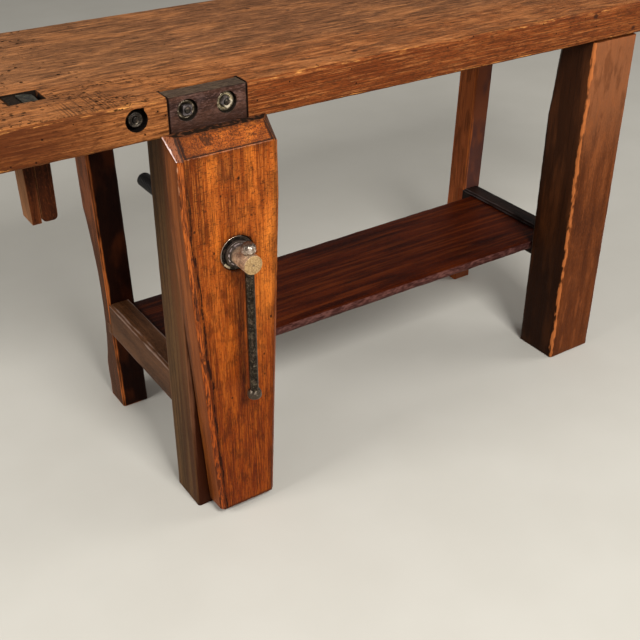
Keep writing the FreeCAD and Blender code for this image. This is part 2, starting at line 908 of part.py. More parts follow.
nodes = {
    "top_slab": make_top_slab,
    "jaw_block": make_jaw_block,
    "tie_bolts": make_tie_bolts,
    "bolt_washers": make_bolt_washers,
    "square_nuts": make_square_nuts,
    "round_nut": make_round_nut,
    "planing_stop": make_planing_stop,
    "stop_plate": make_stop_plate,
    "stop_plate_screw": plate_screw_shape,
    "stop_wedge": make_stop_wedge,
    "front_left_leg": make_front_left_leg,
    "front_right_leg": make_front_right_leg,
    "rear_left_leg": make_rear_left_leg,
    "rear_right_leg": make_rear_right_leg,
    "left_rail": make_left_rail,
    "right_rail": make_right_rail,
    "shelf": shelf_shape,
    "chop": make_chop,
    "parallel_guide": make_guide,
    "guide_peg": make_guide_peg,
    "guide_pin": make_guide_pin,
    "garter_key": make_garter_key,
    "screw_collar": make_screw_collar,
    "vise_screw": make_vise_screw,
    "vise_nut": make_vise_nut,
    "nut_screws": lambda: group(nut_screw_shapes()),
    "tommy_bar": make_tommy_bar,
    "bar_end_knob": make_bar_end_knob,
}

for name, make in nodes.items():
    save(name, make())
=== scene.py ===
# %% [markdown]
# An old joiner's bench. The frame that is loaded here holds the sizes, the joints and the plain
# solids. This lesson dresses them: worn timber, a threaded screw, browned iron, and the light.

# %% Load the bench
import json
import math

import bmesh
import bpy
from mathutils import Matrix, Vector


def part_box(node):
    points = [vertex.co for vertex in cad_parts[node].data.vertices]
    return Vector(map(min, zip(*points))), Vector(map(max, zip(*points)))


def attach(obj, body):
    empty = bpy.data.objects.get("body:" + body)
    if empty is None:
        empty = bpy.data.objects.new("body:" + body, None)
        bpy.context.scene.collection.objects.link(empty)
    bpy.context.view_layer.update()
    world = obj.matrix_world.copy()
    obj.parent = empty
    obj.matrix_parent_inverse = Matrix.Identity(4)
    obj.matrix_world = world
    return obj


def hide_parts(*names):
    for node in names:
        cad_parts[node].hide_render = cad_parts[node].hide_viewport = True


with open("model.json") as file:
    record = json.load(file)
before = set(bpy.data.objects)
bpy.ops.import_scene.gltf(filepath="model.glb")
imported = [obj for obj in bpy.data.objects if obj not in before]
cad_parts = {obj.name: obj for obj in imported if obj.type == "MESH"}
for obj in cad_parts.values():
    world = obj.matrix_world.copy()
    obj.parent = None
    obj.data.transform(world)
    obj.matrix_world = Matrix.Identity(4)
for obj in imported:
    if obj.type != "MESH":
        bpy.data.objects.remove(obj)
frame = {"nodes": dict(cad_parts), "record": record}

MM = 0.001
scene = bpy.context.scene
record = frame["record"]
body_name = {node: body for body, nodes in record["behaviour"]["bodies"].items() for node in nodes}
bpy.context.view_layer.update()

# %% [markdown]
# A material here is written as sums. The nodes could be placed and linked one by one, but then
# the formula is lost between them. A small class wraps a socket instead, so that an expression
# on values adds its own Math nodes, and the formula of the grain can be read as a formula.

# %% Material values as expressions
class Value:
    """One value in a material. Sums and products on it add Math nodes to the material's tree."""

    def __init__(self, tree, socket):
        self.tree = tree
        self.socket = socket

    def math(self, operation, *others):
        node = self.tree.nodes.new("ShaderNodeMath")
        node.operation = operation
        for index, term in enumerate((self,) + others):
            if isinstance(term, Value):
                self.tree.links.new(term.socket, node.inputs[index])
            else:
                node.inputs[index].default_value = term
        return Value(self.tree, node.outputs[0])

    def __add__(self, other):
        return self.math("ADD", other)

    def __sub__(self, other):
        return self.math("SUBTRACT", other)

    def __mul__(self, other):
        return self.math("MULTIPLY", other)

    def __truediv__(self, other):
        return self.math("DIVIDE", other)

    def __radd__(self, other):
        return self.math("ADD", other)

    def __rmul__(self, other):
        return self.math("MULTIPLY", other)

    def __rsub__(self, other):
        return (self * -1.0).math("ADD", other)

    def lowest(self, other):
        return self.math("MINIMUM", other)

    def highest(self, other):
        return self.math("MAXIMUM", other)

    def size(self):
        return self.math("ABSOLUTE")

    def between(self, low, high):
        """0 at low and 1 at high, with soft ends. It runs downwards when low is the larger."""
        share = ((self - low) * (1.0 / (high - low))).highest(0.0).lowest(1.0)
        return share * share * (3.0 - share * 2.0)

    def inside(self, low, high, soft):
        """1 from low to high, fading to 0 over a soft stretch outside them."""
        return self.between(low - soft, low) * self.between(high + soft, high)


# %% [markdown]
# A finish is a material that is being made. One method adds any other kind of node. On top of it
# stand the fields that every surface here uses: places in millimetres, stretched noise, specks.

# %% A finish and its fields
class Finish:
    def __init__(self, name, grain=None):
        self.material = bpy.data.materials.new(name)
        self.material.use_nodes = True
        self.tree = self.material.node_tree
        self.shader = self.tree.nodes["Principled BSDF"]
        self.grain = grain
        self.mm = self.scaled(self.node("ShaderNodeTexCoord", output="Object"), (1000.0,) * 3)
        self.x, self.y, self.z = [self.part(self.mm, axis) for axis in range(3)]
        self.facing = self.node("ShaderNodeTexCoord", output="Normal")
        self.height = None

    def node(self, kind, settings=None, values=None, output=0):
        made = self.tree.nodes.new(kind)
        for key, value in (settings or {}).items():
            if key == "stops":
                self.set_stops(made.color_ramp, value)
            else:
                setattr(made, key, value)
        for key, value in (values or {}).items():
            self.put(made.inputs[key], value)
        return Value(self.tree, made.outputs[output])

    def put(self, socket, value):
        if isinstance(value, Value):
            self.tree.links.new(value.socket, socket)
        else:
            socket.default_value = value

    def set_stops(self, ramp, stops):
        while len(ramp.elements) < len(stops):
            ramp.elements.new(1.0)
        for element, (place, colour) in zip(ramp.elements, stops):
            element.position = place
            element.color = (*colour, 1.0)

    def set(self, **values):
        """Sets the shader's own sockets: base_color=..., roughness=... and so on."""
        for key, value in values.items():
            socket = next(
                s for s in self.shader.inputs if s.name.lower().replace(" ", "_") == key)
            self.put(socket, (*value, 1.0) if isinstance(value, tuple) else value)

    def part(self, vector, axis):
        return self.node("ShaderNodeSeparateXYZ", values={0: vector}, output=axis)

    def scaled(self, vector, scale):
        return self.node("ShaderNodeVectorMath", {"operation": "MULTIPLY"}, {0: vector, 1: scale})

    def moved(self, vector, step):
        return self.node("ShaderNodeVectorMath", {"operation": "ADD"}, {0: vector, 1: step})

    def noise(self, across, along=None, shift=0.0, detail=2.0, rough=0.5):
        """Noise from 0 to 1 whose patches are so many mm across, and so many along the grain."""
        scale = [1.0 / across] * 3
        if along:
            scale[self.grain] = 1.0 / along
        place = self.moved(self.scaled(self.mm, tuple(scale)), (shift, 1.7 * shift, 0.6 * shift))
        values = {"Vector": place, "Scale": 1.0, "Detail": detail, "Roughness": rough}
        return self.node("ShaderNodeTexNoise", values=values)

    def specks(self, spacing, size, along=None, shift=0.0, share=1.0):
        """1 in small spots, one to a cell. Share tells how many of the cells have one."""
        scale = [1.0 / spacing] * 3
        if along:
            scale[self.grain] = 1.0 / along
        place = self.moved(self.scaled(self.mm, tuple(scale)), (shift, shift, shift))
        values = {"Vector": place, "Scale": 1.0}
        away = self.node("ShaderNodeTexVoronoi", values=values, output="Distance")
        kept = self.part(self.node("ShaderNodeTexVoronoi", values=values, output="Color"), 0)
        return away.between(size / spacing, 0.5 * size / spacing) * kept.between(share + 0.02, share)

    def toward(self, axis, sign, low=0.62, high=0.78):
        """1 on faces that look along an axis. Low and high are the cosines of where it starts."""
        return (self.part(self.facing, axis) * sign).between(low, high)

    def away_from(self, place, axis=None):
        """Distance in mm from a point, or from a line through it along an axis."""
        total = None
        for index, (value, middle) in enumerate(zip((self.x, self.y, self.z), place)):
            if index != axis:
                part = value - middle
                total = part * part if total is None else total + part * part
        return total.math("SQRT")

    def mix(self, share, first, second, blend="MIX"):
        """Mixes two colours. A colour is three numbers or the output of another mix."""
        made = self.tree.nodes.new("ShaderNodeMix")
        made.data_type = "RGBA"
        made.blend_type = blend
        self.put(made.inputs["Factor"], share)
        for name, colour in (("A", first), ("B", second)):
            socket = next(s for s in made.inputs if s.name == name and s.type == "RGBA")
            self.put(socket, (*colour, 1.0) if isinstance(colour, tuple) else colour)
        result = next(s for s in made.outputs if s.type == "RGBA")
        return Value(self.tree, result)

    def ramp(self, value, *stops):
        """A colour along a value. Stops are pairs of a place and three numbers."""
        return self.node("ShaderNodeValToRGB", {"stops": stops}, {0: value})

    def start(self, colour, roughness):
        self.colour = colour
        self.roughness = roughness

    def lay(self, mask, colour, depth=0.0, roughness=None, blend="MIX"):
        """Lays a colour over the finish where the mask is 1, raised by so many mm."""
        self.colour = self.mix(mask, self.colour, colour, blend)
        if depth:
            step = mask * depth
            self.height = step if self.height is None else self.height + step
        if roughness is not None:
            self.roughness = mask * (roughness - self.roughness) + self.roughness

    def done(self, **constants):
        self.set(base_color=self.colour, roughness=self.roughness, **constants)
        if self.height is not None:
            values = {"Height": self.height, "Distance": MM, "Strength": 1.0}
            self.set(normal=self.node("ShaderNodeBump", values=values, output="Normal"))
        print("finish:", self.material.name, "with", len(self.tree.nodes), "nodes")
        return self.material


# %% [markdown]
# Camera and light. The camera stands where the photograph was taken from: in front of the vise
# and to its left, above the bench, with a slightly long lens. The lamps are wide and soft.

# %% Camera
lens_mm = 56.2
camera_place = (-1.1111, -1.5076, 1.2908)
looks_down, looks_right = 0.550, 0.584
camera_data = bpy.data.cameras.new("camera")
camera_data.sensor_width = 36.0
camera_data.lens = lens_mm
camera_data.clip_end = 60.0
camera = bpy.data.objects.new("camera", camera_data)
scene.collection.objects.link(camera)
camera.location = camera_place
camera.rotation_euler = (math.pi / 2 - looks_down, 0.0, -looks_right)
scene.camera = camera
scene.view_settings.view_transform = "Standard"
print("camera:", round(Vector(camera_place).length, 2), "m from the bench's middle on the floor")

# %% Floor
floor_mesh = bpy.data.meshes.new("floor")
floor_mesh.from_pydata([(-9, -9, 0), (9, -9, 0), (9, 9, 0), (-9, 9, 0)], [], [(0, 1, 2, 3)])
floor = bpy.data.objects.new("floor", floor_mesh)
scene.collection.objects.link(floor)
paint = Finish("pale floor")
cloud = paint.noise(220.0, detail=4.0)
paint.start(paint.mix(cloud.between(0.3, 0.7), (0.50, 0.475, 0.415), (0.52, 0.495, 0.435)), 0.8)
floor_mesh.materials.append(paint.done())

# %% Lamps
world = bpy.data.worlds.new("studio")
scene.world = world
world.use_nodes = True
sky = world.node_tree.nodes["Background"]
sky.inputs["Color"].default_value = (1.0, 0.98, 0.95, 1.0)
sky.inputs["Strength"].default_value = 0.34


def lamp(name, place, target, size, power):
    data = bpy.data.lights.new(name, "AREA")
    data.shape = "SQUARE"
    data.size = size
    data.energy = power
    obj = bpy.data.objects.new(name, data)
    scene.collection.objects.link(obj)
    obj.location = place
    obj.rotation_euler = (Vector(place) - Vector(target)).to_track_quat("Z", "Y").to_euler()
    print("lamp", name, power, "W over", size, "m")


lamp("key", (-0.5, -2.7, 2.8), (-0.2, -0.1, 0.4), 1.1, 130)
lamp("right", (3.4, -1.6, 2.2), (0.0, 0.0, 0.4), 1.6, 50)
lamp("left", (-3.2, -0.15, 1.9), (-0.3, 0.0, 0.5), 1.2, 60)

# %% [markdown]
# Shapes first. An old timber is never quite flat, and a plane and years of hands have rounded its
# arrises. It could be sculpted, but then nobody could change it. Here it starts as the plain solid.
# Its long arrises are rounded and its faces are cut into a grid. A Geometry Nodes tree then sinks
# that grid a little: most beside the arrises, and in low waves over the faces.

# %% The plain solid as one clean mesh
def merged_solid(node):
    """The solid of a node as joined flat faces instead of loose triangles."""
    mesh = bmesh.new()
    mesh.from_mesh(frame["nodes"][node].data)
    bmesh.ops.remove_doubles(mesh, verts=mesh.verts, dist=0.02 * MM)
    bmesh.ops.dissolve_limit(
        mesh, angle_limit=math.radians(0.6), verts=mesh.verts, edges=mesh.edges)
    return mesh


def hull_planes(node):
    """The flat faces with the whole solid behind them, each as a normal and a distance in mm."""
    mesh = merged_solid(node)
    smallest = 150 * MM * MM
    planes = []
    for face in mesh.faces:
        normal = face.normal.normalized()
        reach = normal.dot(face.verts[0].co) / MM
        outermost = all(normal.dot(v.co) / MM < reach + 0.4 for v in mesh.verts)
        known = any(normal.dot(n) > 0.9995 and abs(reach - d) < 0.5 for n, d in planes)
        if outermost and not known and face.calc_area() > smallest:
            planes.append((normal.copy(), reach))
    mesh.free()
    return planes


# %% Rounded arrises and the grid
def round_arrises(mesh, width, shortest=12.0):
    """Rounds the outward edges between flat faces, leaving out the shortest."""
    edges = [
        edge for edge in mesh.edges
        if len(edge.link_faces) == 2 and edge.is_convex and edge.calc_length() > shortest * MM
        and edge.calc_face_angle(0.0) > 0.3]
    bmesh.ops.bevel(
        mesh, geom=edges, offset=width, offset_type="OFFSET", segments=2, profile=0.5,
        affect="EDGES", clamp_overlap=True)


def cut_grid(mesh, pitch):
    """Cuts all faces on level, upright and cross planes, with a pitch for each axis."""
    low = Vector([min(v.co[axis] for v in mesh.verts) for axis in range(3)])
    high = Vector([max(v.co[axis] for v in mesh.verts) for axis in range(3)])
    for axis in range(3):
        count = max(1, round((high[axis] - low[axis]) / pitch[axis]))
        normal = Vector((axis == 0, axis == 1, axis == 2))
        for index in range(1, count):
            middle = low.copy()
            middle[axis] = low[axis] + index * (high[axis] - low[axis]) / count
            bmesh.ops.bisect_plane(
                mesh, geom=mesh.verts[:] + mesh.edges[:] + mesh.faces[:], dist=0.01 * MM,
                plane_co=middle, plane_no=normal)


# %% [markdown]
# The tree itself. It joins the plain solid's triangles, keeps only the sharp edges, and measures
# how far each point of the grid lies from the nearest one. That distance drives the wear.

# %% Geometry Nodes trees as calls
class Tree:
    """A Geometry Nodes tree under construction, with its own named inputs."""

    def __init__(self, name, *inputs):
        self.group = bpy.data.node_groups.new(name, "GeometryNodeTree")
        face = self.group.interface
        face.new_socket("Geometry", in_out="INPUT", socket_type="NodeSocketGeometry")
        face.new_socket("Geometry", in_out="OUTPUT", socket_type="NodeSocketGeometry")
        for label, kind in inputs + (("Material", "Material"),):
            face.new_socket(label, in_out="INPUT", socket_type="NodeSocket" + kind)
        self.given = self.group.nodes.new("NodeGroupInput").outputs

    def node(self, kind, settings=None, values=None, output=0):
        made = self.group.nodes.new(kind)
        for key, value in (settings or {}).items():
            setattr(made, key, value)
        for key, value in (values or {}).items():
            if isinstance(value, bpy.types.NodeSocket):
                self.group.links.new(value, made.inputs[key])
            else:
                made.inputs[key].default_value = value
        return made.outputs[output]

    def math(self, operation, first, second=0.0):
        return self.node("ShaderNodeMath", {"operation": operation}, {0: first, 1: second})

    def close(self, geometry):
        real = self.node("GeometryNodeRealizeInstances", values={0: geometry})
        done = self.node(
            "GeometryNodeSetMaterial", values={"Geometry": real, "Material": self.given["Material"]})
        end = self.group.nodes.new("NodeGroupOutput")
        self.group.links.new(done, end.inputs[0])
        return self.group


# %% The tree that wears timber
def make_wear_tree():
    tree = Tree(
        "worn timber", ("Plain", "Object"), ("Depth", "Float"), ("Reach", "Float"),
        ("Wave", "Float"), ("Unevenness", "Float"), ("Seed", "Float"))
    plain = tree.node(
        "GeometryNodeObjectInfo", {"transform_space": "ORIGINAL"}, {"Object": tree.given["Plain"]},
        output="Geometry")
    joined = tree.node("GeometryNodeMergeByDistance", values={"Geometry": plain, "Distance": 0.00002})
    angle = tree.node("GeometryNodeInputMeshEdgeAngle")
    sharp = tree.node("FunctionNodeCompare", {"operation": "GREATER_THAN"}, {0: angle, 1: 0.35})
    edges = tree.node(
        "GeometryNodeSeparateGeometry", {"domain": "EDGE"}, {"Geometry": joined, "Selection": sharp})
    away = tree.node("GeometryNodeProximity", {"target_element": "EDGES"}, {0: edges}, "Distance")
    near = tree.math("SUBTRACT", 1.0, tree.math("DIVIDE", away, tree.given["Reach"]))
    near = tree.math("MAXIMUM", near, 0.0)
    place = tree.node("GeometryNodeInputPosition")
    fine = tree.node(
        "ShaderNodeTexNoise", {"noise_dimensions": "4D"},
        {"Vector": place, "W": tree.given["Seed"], "Scale": 45.0, "Detail": 2.0})
    size = tree.math("DIVIDE", 1.0, tree.given["Wave"])
    wide = tree.node(
        "ShaderNodeTexNoise", {"noise_dimensions": "4D"},
        {"Vector": place, "W": tree.given["Seed"], "Scale": size, "Detail": 1.0})
    worn = tree.math("MULTIPLY", tree.math("MULTIPLY", near, near), tree.given["Depth"])
    worn = tree.math("MULTIPLY", worn, tree.math("MULTIPLY", fine, 1.6))
    sunk = tree.math("ADD", worn, tree.math("MULTIPLY", wide, tree.given["Unevenness"]))
    inward = tree.node(
        "ShaderNodeVectorMath", {"operation": "SCALE"},
        {0: tree.node("GeometryNodeInputNormal"), "Scale": tree.math("MULTIPLY", sunk, -1.0)})
    moved = tree.node(
        "GeometryNodeSetPosition", values={"Geometry": tree.given["Geometry"], "Offset": inward})
    return tree.close(moved)


wear_tree = make_wear_tree()

# %% [markdown]
# One call runs a tree on a mesh and turns the result into plain faces. Another hands the piece
# over: it hides the node that the piece stands for and lets the piece ride on that node's body.

# %% Running a tree and handing a piece over
def as_object(name, mesh):
    data = bpy.data.meshes.new(name)
    mesh.to_mesh(data)
    mesh.free()
    obj = bpy.data.objects.new(name, data)
    scene.collection.objects.link(obj)
    return obj


def run_tree(obj, group, **values):
    """Sets the tree's inputs by name, runs it once and keeps the result as a plain mesh."""
    modifier = obj.modifiers.new(group.name, "NODES")
    modifier.node_group = group
    for item in group.interface.items_tree:
        if item.item_type == "SOCKET" and item.in_out == "INPUT" and item.name in values:
            modifier[item.identifier] = values[item.name]
    keep_result(obj)


def keep_result(obj):
    """Puts the mesh that the modifiers give in the place of the object's own."""
    depsgraph = bpy.context.evaluated_depsgraph_get()
    result = bpy.data.meshes.new_from_object(obj.evaluated_get(depsgraph))
    obj.modifiers.clear()
    obj.data = result


def smooth(obj, angle=0.6):
    for polygon in obj.data.polygons:
        polygon.use_smooth = True
    obj.data.set_sharp_from_angle(angle=angle)


def crisp(obj):
    """Lets the wide faces rule the shading, so that light breaks on the narrow arrises."""
    modifier = obj.modifiers.new("wide faces rule", "WEIGHTED_NORMAL")
    modifier.keep_sharp = True
    keep_result(obj)


def coat(obj, material):
    """Gives an object one finish and no other."""
    obj.data.materials.clear()
    obj.data.materials.append(material)


def hand_over(obj, node):
    """The object takes the place of a node: the node is hidden and the object rides on its body."""
    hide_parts(node)
    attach(obj, body_name[node])
    print(node, "finished with", len(obj.data.polygons), "faces")


def worn(node, material, arris=1.6, pitch=14.0, along=None, shortest=12.0, **wear):
    """A node's solid with rounded arrises and a worn surface."""
    mesh = merged_solid(node)
    round_arrises(mesh, arris * MM, shortest)
    steps = [pitch * MM] * 3
    if along is not None:
        steps[along] = 2.0 * pitch * MM
    cut_grid(mesh, steps)
    obj = as_object(node + "_worn", mesh)
    usual = {"Depth": 0.9 * MM, "Reach": 9 * MM, "Wave": 60 * MM, "Unevenness": 0.5 * MM}
    values = {**usual, "Seed": 1.0, **wear}
    run_tree(obj, wear_tree, Plain=frame["nodes"][node], Material=material, **values)
    smooth(obj)
    crisp(obj)
    hand_over(obj, node)


# %% [markdown]
# Turned pieces. A smith or turner made them round, so an outline of radius and length, swept
# round an axis, gives every knob, washer and shank. Plain cylinders with a Bevel modifier would
# need one cylinder for each step. The outline's corners are eased, so that light runs along them.

# %% Turned pieces
def eased(profile, ease, steps=3):
    """The outline with each corner that is off the axis cut back and rounded."""
    points = []
    for index, (radius, length) in enumerate(profile):
        corner = Vector((radius, length))
        before = Vector(profile[index - 1])
        after = Vector(profile[(index + 1) % len(profile)])
        if radius < 0.01:
            points.append(corner)
            continue
        reach = min(ease, 0.45 * (before - corner).length, 0.45 * (after - corner).length)
        first = corner + (before - corner).normalized() * reach
        last = corner + (after - corner).normalized() * reach
        for step in range(steps + 1):
            share = step / steps
            points.append(first.lerp(corner, share).lerp(corner.lerp(last, share), share))
    return points


def turned(mesh, profile, origin, axis=(0, 1, 0), ease=0.6, segments=72, flats=None, turn=0.0):
    """Adds a turned solid to a mesh. The outline is in mm, as radius and length on the axis.

    With flats, no ring reaches past a square of that half width, turned by an angle.
    """
    axis = Vector(axis)
    side = Vector((0, 1, 0)) if axis.x else Vector((1, 0, 0))
    other = axis.cross(side)
    rings = []
    for radius, length in eased(profile, ease):
        middle = Vector(origin) + axis * length
        if radius < 0.01:
            rings.append([mesh.verts.new(middle * MM)])
            continue
        ring = []
        for index in range(segments):
            angle = 2 * math.pi * index / segments
            reach = radius
            if flats:
                reach = min(radius, flats / max(abs(math.cos(angle)), abs(math.sin(angle))))
            spoke = side * math.cos(angle + turn) + other * math.sin(angle + turn)
            ring.append(mesh.verts.new((middle + spoke * reach) * MM))
        rings.append(ring)
    closed = len(rings[0]) > 1
    pairs = list(zip(rings, rings[1:] + rings[:1])) if closed else list(zip(rings, rings[1:]))
    for lower, upper in pairs:
        for index in range(segments):
            after = (index + 1) % segments
            corners = [lower[index % len(lower)], lower[after % len(lower)],
                       upper[after % len(upper)], upper[index % len(upper)]]
            unique = list(dict.fromkeys(corners))
            if len(unique) > 2:
                mesh.faces.new(unique)


def finished(node, mesh, material, angle=0.6):
    """Makes a node's turned piece out of a mesh and hands it over."""
    bmesh.ops.recalc_face_normals(mesh, faces=mesh.faces)
    obj = as_object(node + "_turned", mesh)
    smooth(obj, angle)
    coat(obj, material)
    hand_over(obj, node)


def in_mm(node):
    low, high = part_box(node)
    return low / MM, high / MM


# %% [markdown]
# Timber finishes. Wood is drawn as a solid, not as a skin: growth rings are distances from a
# pith line that wanders along the grain, so the same sums give streaks on a long face and arcs
# on a sawn end. Fibres, pores and stains are noises stretched along the grain.

# %% Timber fields
class Timber(Finish):
    def __init__(self, name, grain, pith, spacing=4.0, wander=16.0, shift=0.0):
        super().__init__(name, grain)
        bend = self.noise(80.0, 420.0, shift=shift + 3.0, detail=3.0) - 0.5
        away = self.away_from(pith, axis=grain) + bend * wander
        turn = (away / spacing + self.noise(9.0, 90.0, shift=shift) * 0.7).math("FRACT")
        self.late = turn.between(0.25, 0.85) * turn.between(1.0, 0.92)
        self.fibre = self.noise(2.6, 110.0, shift=shift + 7.0, detail=5.0, rough=0.7)
        self.dark_lines = self.fibre.between(0.48, 0.39)
        self.light_lines = self.fibre.between(0.52, 0.61)
        self.grit = self.noise(2.0, 7.0, shift=shift + 29.0, detail=3.0, rough=0.7)
        self.hair = self.noise(1.5, 38.0, shift=shift + 31.0, detail=4.0, rough=0.7)
        self.streak = self.noise(9.0, 300.0, shift=shift + 11.0, detail=3.0, rough=0.6)
        self.cloud = self.noise(55.0, 120.0, shift=shift + 17.0, detail=3.0)
        self.pores = self.noise(0.9, 13.0, shift=shift + 23.0, detail=1.0).between(0.60, 0.68)

    def slack(self, plane):
        """Distance in mm from a flat face, inwards."""
        normal, reach = plane
        settings, values = {"operation": "DOT_PRODUCT"}, {0: self.mm, 1: tuple(normal)}
        return reach - self.node("ShaderNodeVectorMath", settings, values, output="Value")

    def arris(self, planes):
        """Distance in mm from the nearest arris: the second smallest of the distances inwards."""
        first, second = self.slack(planes[0]).highest(0.0), None
        for plane in planes[1:]:
            gap = self.slack(plane).highest(0.0)
            larger = first.highest(gap)
            second = larger if second is None else second.lowest(larger)
            first = first.lowest(gap)
        return second

    def nearest(self, planes):
        """Distance in mm from the nearest of some flat faces."""
        away = self.slack(planes[0])
        for plane in planes[1:]:
            away = away.lowest(self.slack(plane))
        return away


# %% [markdown]
# The top: old pine, honey brown at its worn front edge, greyer over the top, with pits where
# worms and tools went in, and fine saw marks near the stop. The bolt holes are painted dark as shade.

# %% Painted shade in the bolt holes
def in_bores(wood):
    """1 on the walls and floors of the bolt holes and of the notch beside the outer one."""
    washers_low, washers_high = in_mm("bolt_washers")
    nut_low, nut_high = in_mm("round_nut")
    slab_low, slab_high = in_mm("top_slab")
    reach = (washers_high.z - washers_low.z) / 2
    height = wood.z - (washers_low.z + washers_high.z) / 2
    outer_x = (nut_low.x + nut_high.x) / 2
    inside = None
    for x in (washers_low.x + reach, washers_high.x - reach, outer_x):
        across = wood.x - x
        away = (across * across + height * height).math("SQRT")
        hole = away.between(reach + 3.8, reach + 3.0)
        inside = hole if inside is None else inside.highest(hole)
    notch_width, notch_height = 13.6, 18.0
    across = wood.x - outer_x
    notch = across.between(-0.5, 0.0) * across.between(notch_width + 0.6, notch_width)
    notch = notch * height.between(-0.5, 0.0) * height.between(notch_height + 0.6, notch_height)
    notch = notch * wood.y.between(nut_high.y + 1.5, nut_high.y + 1.0)
    past_arris = wood.y.inside(slab_low.y + 2.0, slab_high.y - 2.0, 0.8)
    below_top = wood.z.between(slab_high.z - 2.0, slab_high.z - 3.0)
    return inside.highest(notch) * past_arris * below_top


# %% Grain and colour of the top
def pine_grain():
    wood = Timber("bench pine", 0, (0.0, -60.0, 640.0), spacing=4.6, wander=26.0)
    block_low, block_high = in_mm("jaw_block")
    tone = wood.streak * 0.6 + wood.cloud * 0.4
    wood.start(wood.ramp(
        tone, (0.38, (0.080, 0.020, 0.005)), (0.48, (0.160, 0.044, 0.011)),
        (0.58, (0.260, 0.080, 0.018)), (0.68, (0.370, 0.135, 0.035))), 0.55)
    handled = wood.x.between(block_low.x - 260.0, block_low.x - 60.0)
    handled = handled * wood.x.between(block_high.x, block_low.x)
    wood.lay(handled * 0.45, (0.44, 0.162, 0.048))
    wood.lay(wood.x.between(block_high.x - 20.0, block_high.x) * 0.5, (0.21, 0.040, 0.007))
    wood.lay(wood.late * 0.40, (0.075, 0.019, 0.005), depth=0.10)
    wood.lay(wood.dark_lines * 0.65, (0.055, 0.015, 0.004), depth=-0.2)
    wood.lay(wood.light_lines * 0.40, (0.50, 0.20, 0.060))
    wood.lay(wood.grit.between(0.47, 0.40) * 0.35, (0.050, 0.014, 0.004), depth=-0.15)
    wood.lay(wood.hair.between(0.47, 0.40) * 0.45, (0.045, 0.012, 0.003), depth=-0.15)
    mottle = wood.noise(6.0, 20.0, shift=35.0, detail=4.0, rough=0.65)
    wood.lay(mottle.between(0.53, 0.62) * 0.55, (0.060, 0.017, 0.005))
    return wood


# %% [markdown]
# The upper face has had more light, water and tools than the front edge. One could paint a mask
# for it, but a mask that follows the way a face looks needs no painting and fits any size.

# %% Weather on the upper face, and the shaded front
def weather_top(wood):
    low = in_mm("top_slab")[0]
    block_low = in_mm("jaw_block")[0]
    wood.up = wood.toward(2, 1.0, 0.8, 0.95)
    wood.lay(wood.up * 0.40, (0.44, 0.150, 0.040))
    grey = wood.up * (wood.y + wood.cloud * 110.0).between(low.y + 130.0, low.y + 260.0)
    wood.lay(grey * 0.45, (0.160, 0.088, 0.046), roughness=0.68)
    weathered = wood.noise(7.5, 52.0, shift=36.0, detail=6.0, rough=0.78)
    dark = wood.up * weathered.between(0.51, 0.60)
    wood.lay(dark * 0.70, (0.055, 0.024, 0.011), depth=-0.4, roughness=0.75)
    wood.lay(wood.up * weathered.between(0.46, 0.38) * 0.60, (0.58, 0.235, 0.078))
    left_end = wood.up * wood.x.between(block_low.x - 60.0, block_low.x - 170.0)
    wood.lay(left_end * 0.08, (0.56, 0.240, 0.090))
    shaded = wood.toward(1, -1.0) * wood.x.between(block_low.x - 50.0, block_low.x - 240.0)
    wood.lay(shaded * 0.55, (0.085, 0.020, 0.005))
    wood.lay(shaded * wood.cloud.between(0.38, 0.55) * 0.4, (0.075, 0.019, 0.006))


# %% [markdown]
# Hands polish an arris to gold, and the gold line is also a painted highlight. The distance from it
# comes from the planes of the plain solid, and noise makes that line ragged. The pits are specks of
# a cell pattern, so that none is cut in half.

# %% Rubbed arrises with a painted highlight, and pits of the top
def rub_highlight_and_pit(wood):
    low = in_mm("top_slab")[0]
    block_low, block_high = in_mm("jaw_block")
    stop_high = in_mm("planing_stop")[1]
    edge = wood.arris(hull_planes("top_slab"))
    ragged = wood.noise(7.0, 30.0, shift=41.0, detail=5.0, rough=0.65)
    # worn bare wood and a painted highlight: a ragged gold line along the arrises
    rub = (edge + ragged * 11.0).between(7.3, 5.6)
    gold = wood.mix(wood.fibre.between(0.42, 0.54), (0.22, 0.060, 0.012), (0.66, 0.280, 0.070))
    wood.lay(rub * 0.80, gold, roughness=0.45)
    pitted = wood.noise(38.0, 75.0, shift=37.0).between(0.43, 0.55)
    pitted = pitted * wood.x.between(block_high.x, block_low.x - 60.0)
    pitted = pitted * (wood.up + rub).lowest(1.0) * wood.y.between(low.y + 190.0, low.y + 90.0)
    pits = wood.noise(4.0, 8.0, shift=31.0, detail=2.0, rough=0.6).between(0.57, 0.61)
    wood.lay(pits * pitted, (0.012, 0.005, 0.002), depth=-1.8, roughness=0.9)
    near_stop = wood.up * wood.x.between(stop_high.x + 140.0, stop_high.x + 60.0)
    small = wood.specks(15.0, 3.8, shift=2.6, share=0.5)
    large = wood.specks(24.0, 4.2, shift=6.2, share=0.45)
    dents = small.highest(large) * near_stop.highest(pitted)
    wood.lay(dents, (0.012, 0.005, 0.002), depth=-2.2, roughness=0.9)


# %% Scores, worm holes and knots of the top
def score_and_knot(wood):
    scored = wood.noise(3.0, 45.0, shift=33.0, detail=4.0, rough=0.7).between(0.56, 0.61)
    wood.lay(wood.up * scored * 0.70, (0.040, 0.016, 0.007), depth=-0.6)
    worn_places = wood.noise(60.0, 150.0, shift=38.0, detail=3.0)
    wood.lay(wood.up * worn_places.between(0.53, 0.64) * 0.4, (0.130, 0.052, 0.020))
    wood.lay(wood.up * worn_places.between(0.46, 0.36) * 0.3, (0.50, 0.190, 0.060))
    holes = wood.specks(12.0, 1.8, shift=2.0, share=0.22)
    wood.lay(holes, (0.014, 0.006, 0.003), depth=-1.4, roughness=0.9)
    knots = wood.specks(62.0, 6.0, along=80.0, shift=1.3, share=0.7)
    wood.lay(knots * 0.85, (0.035, 0.011, 0.005), depth=-0.3)


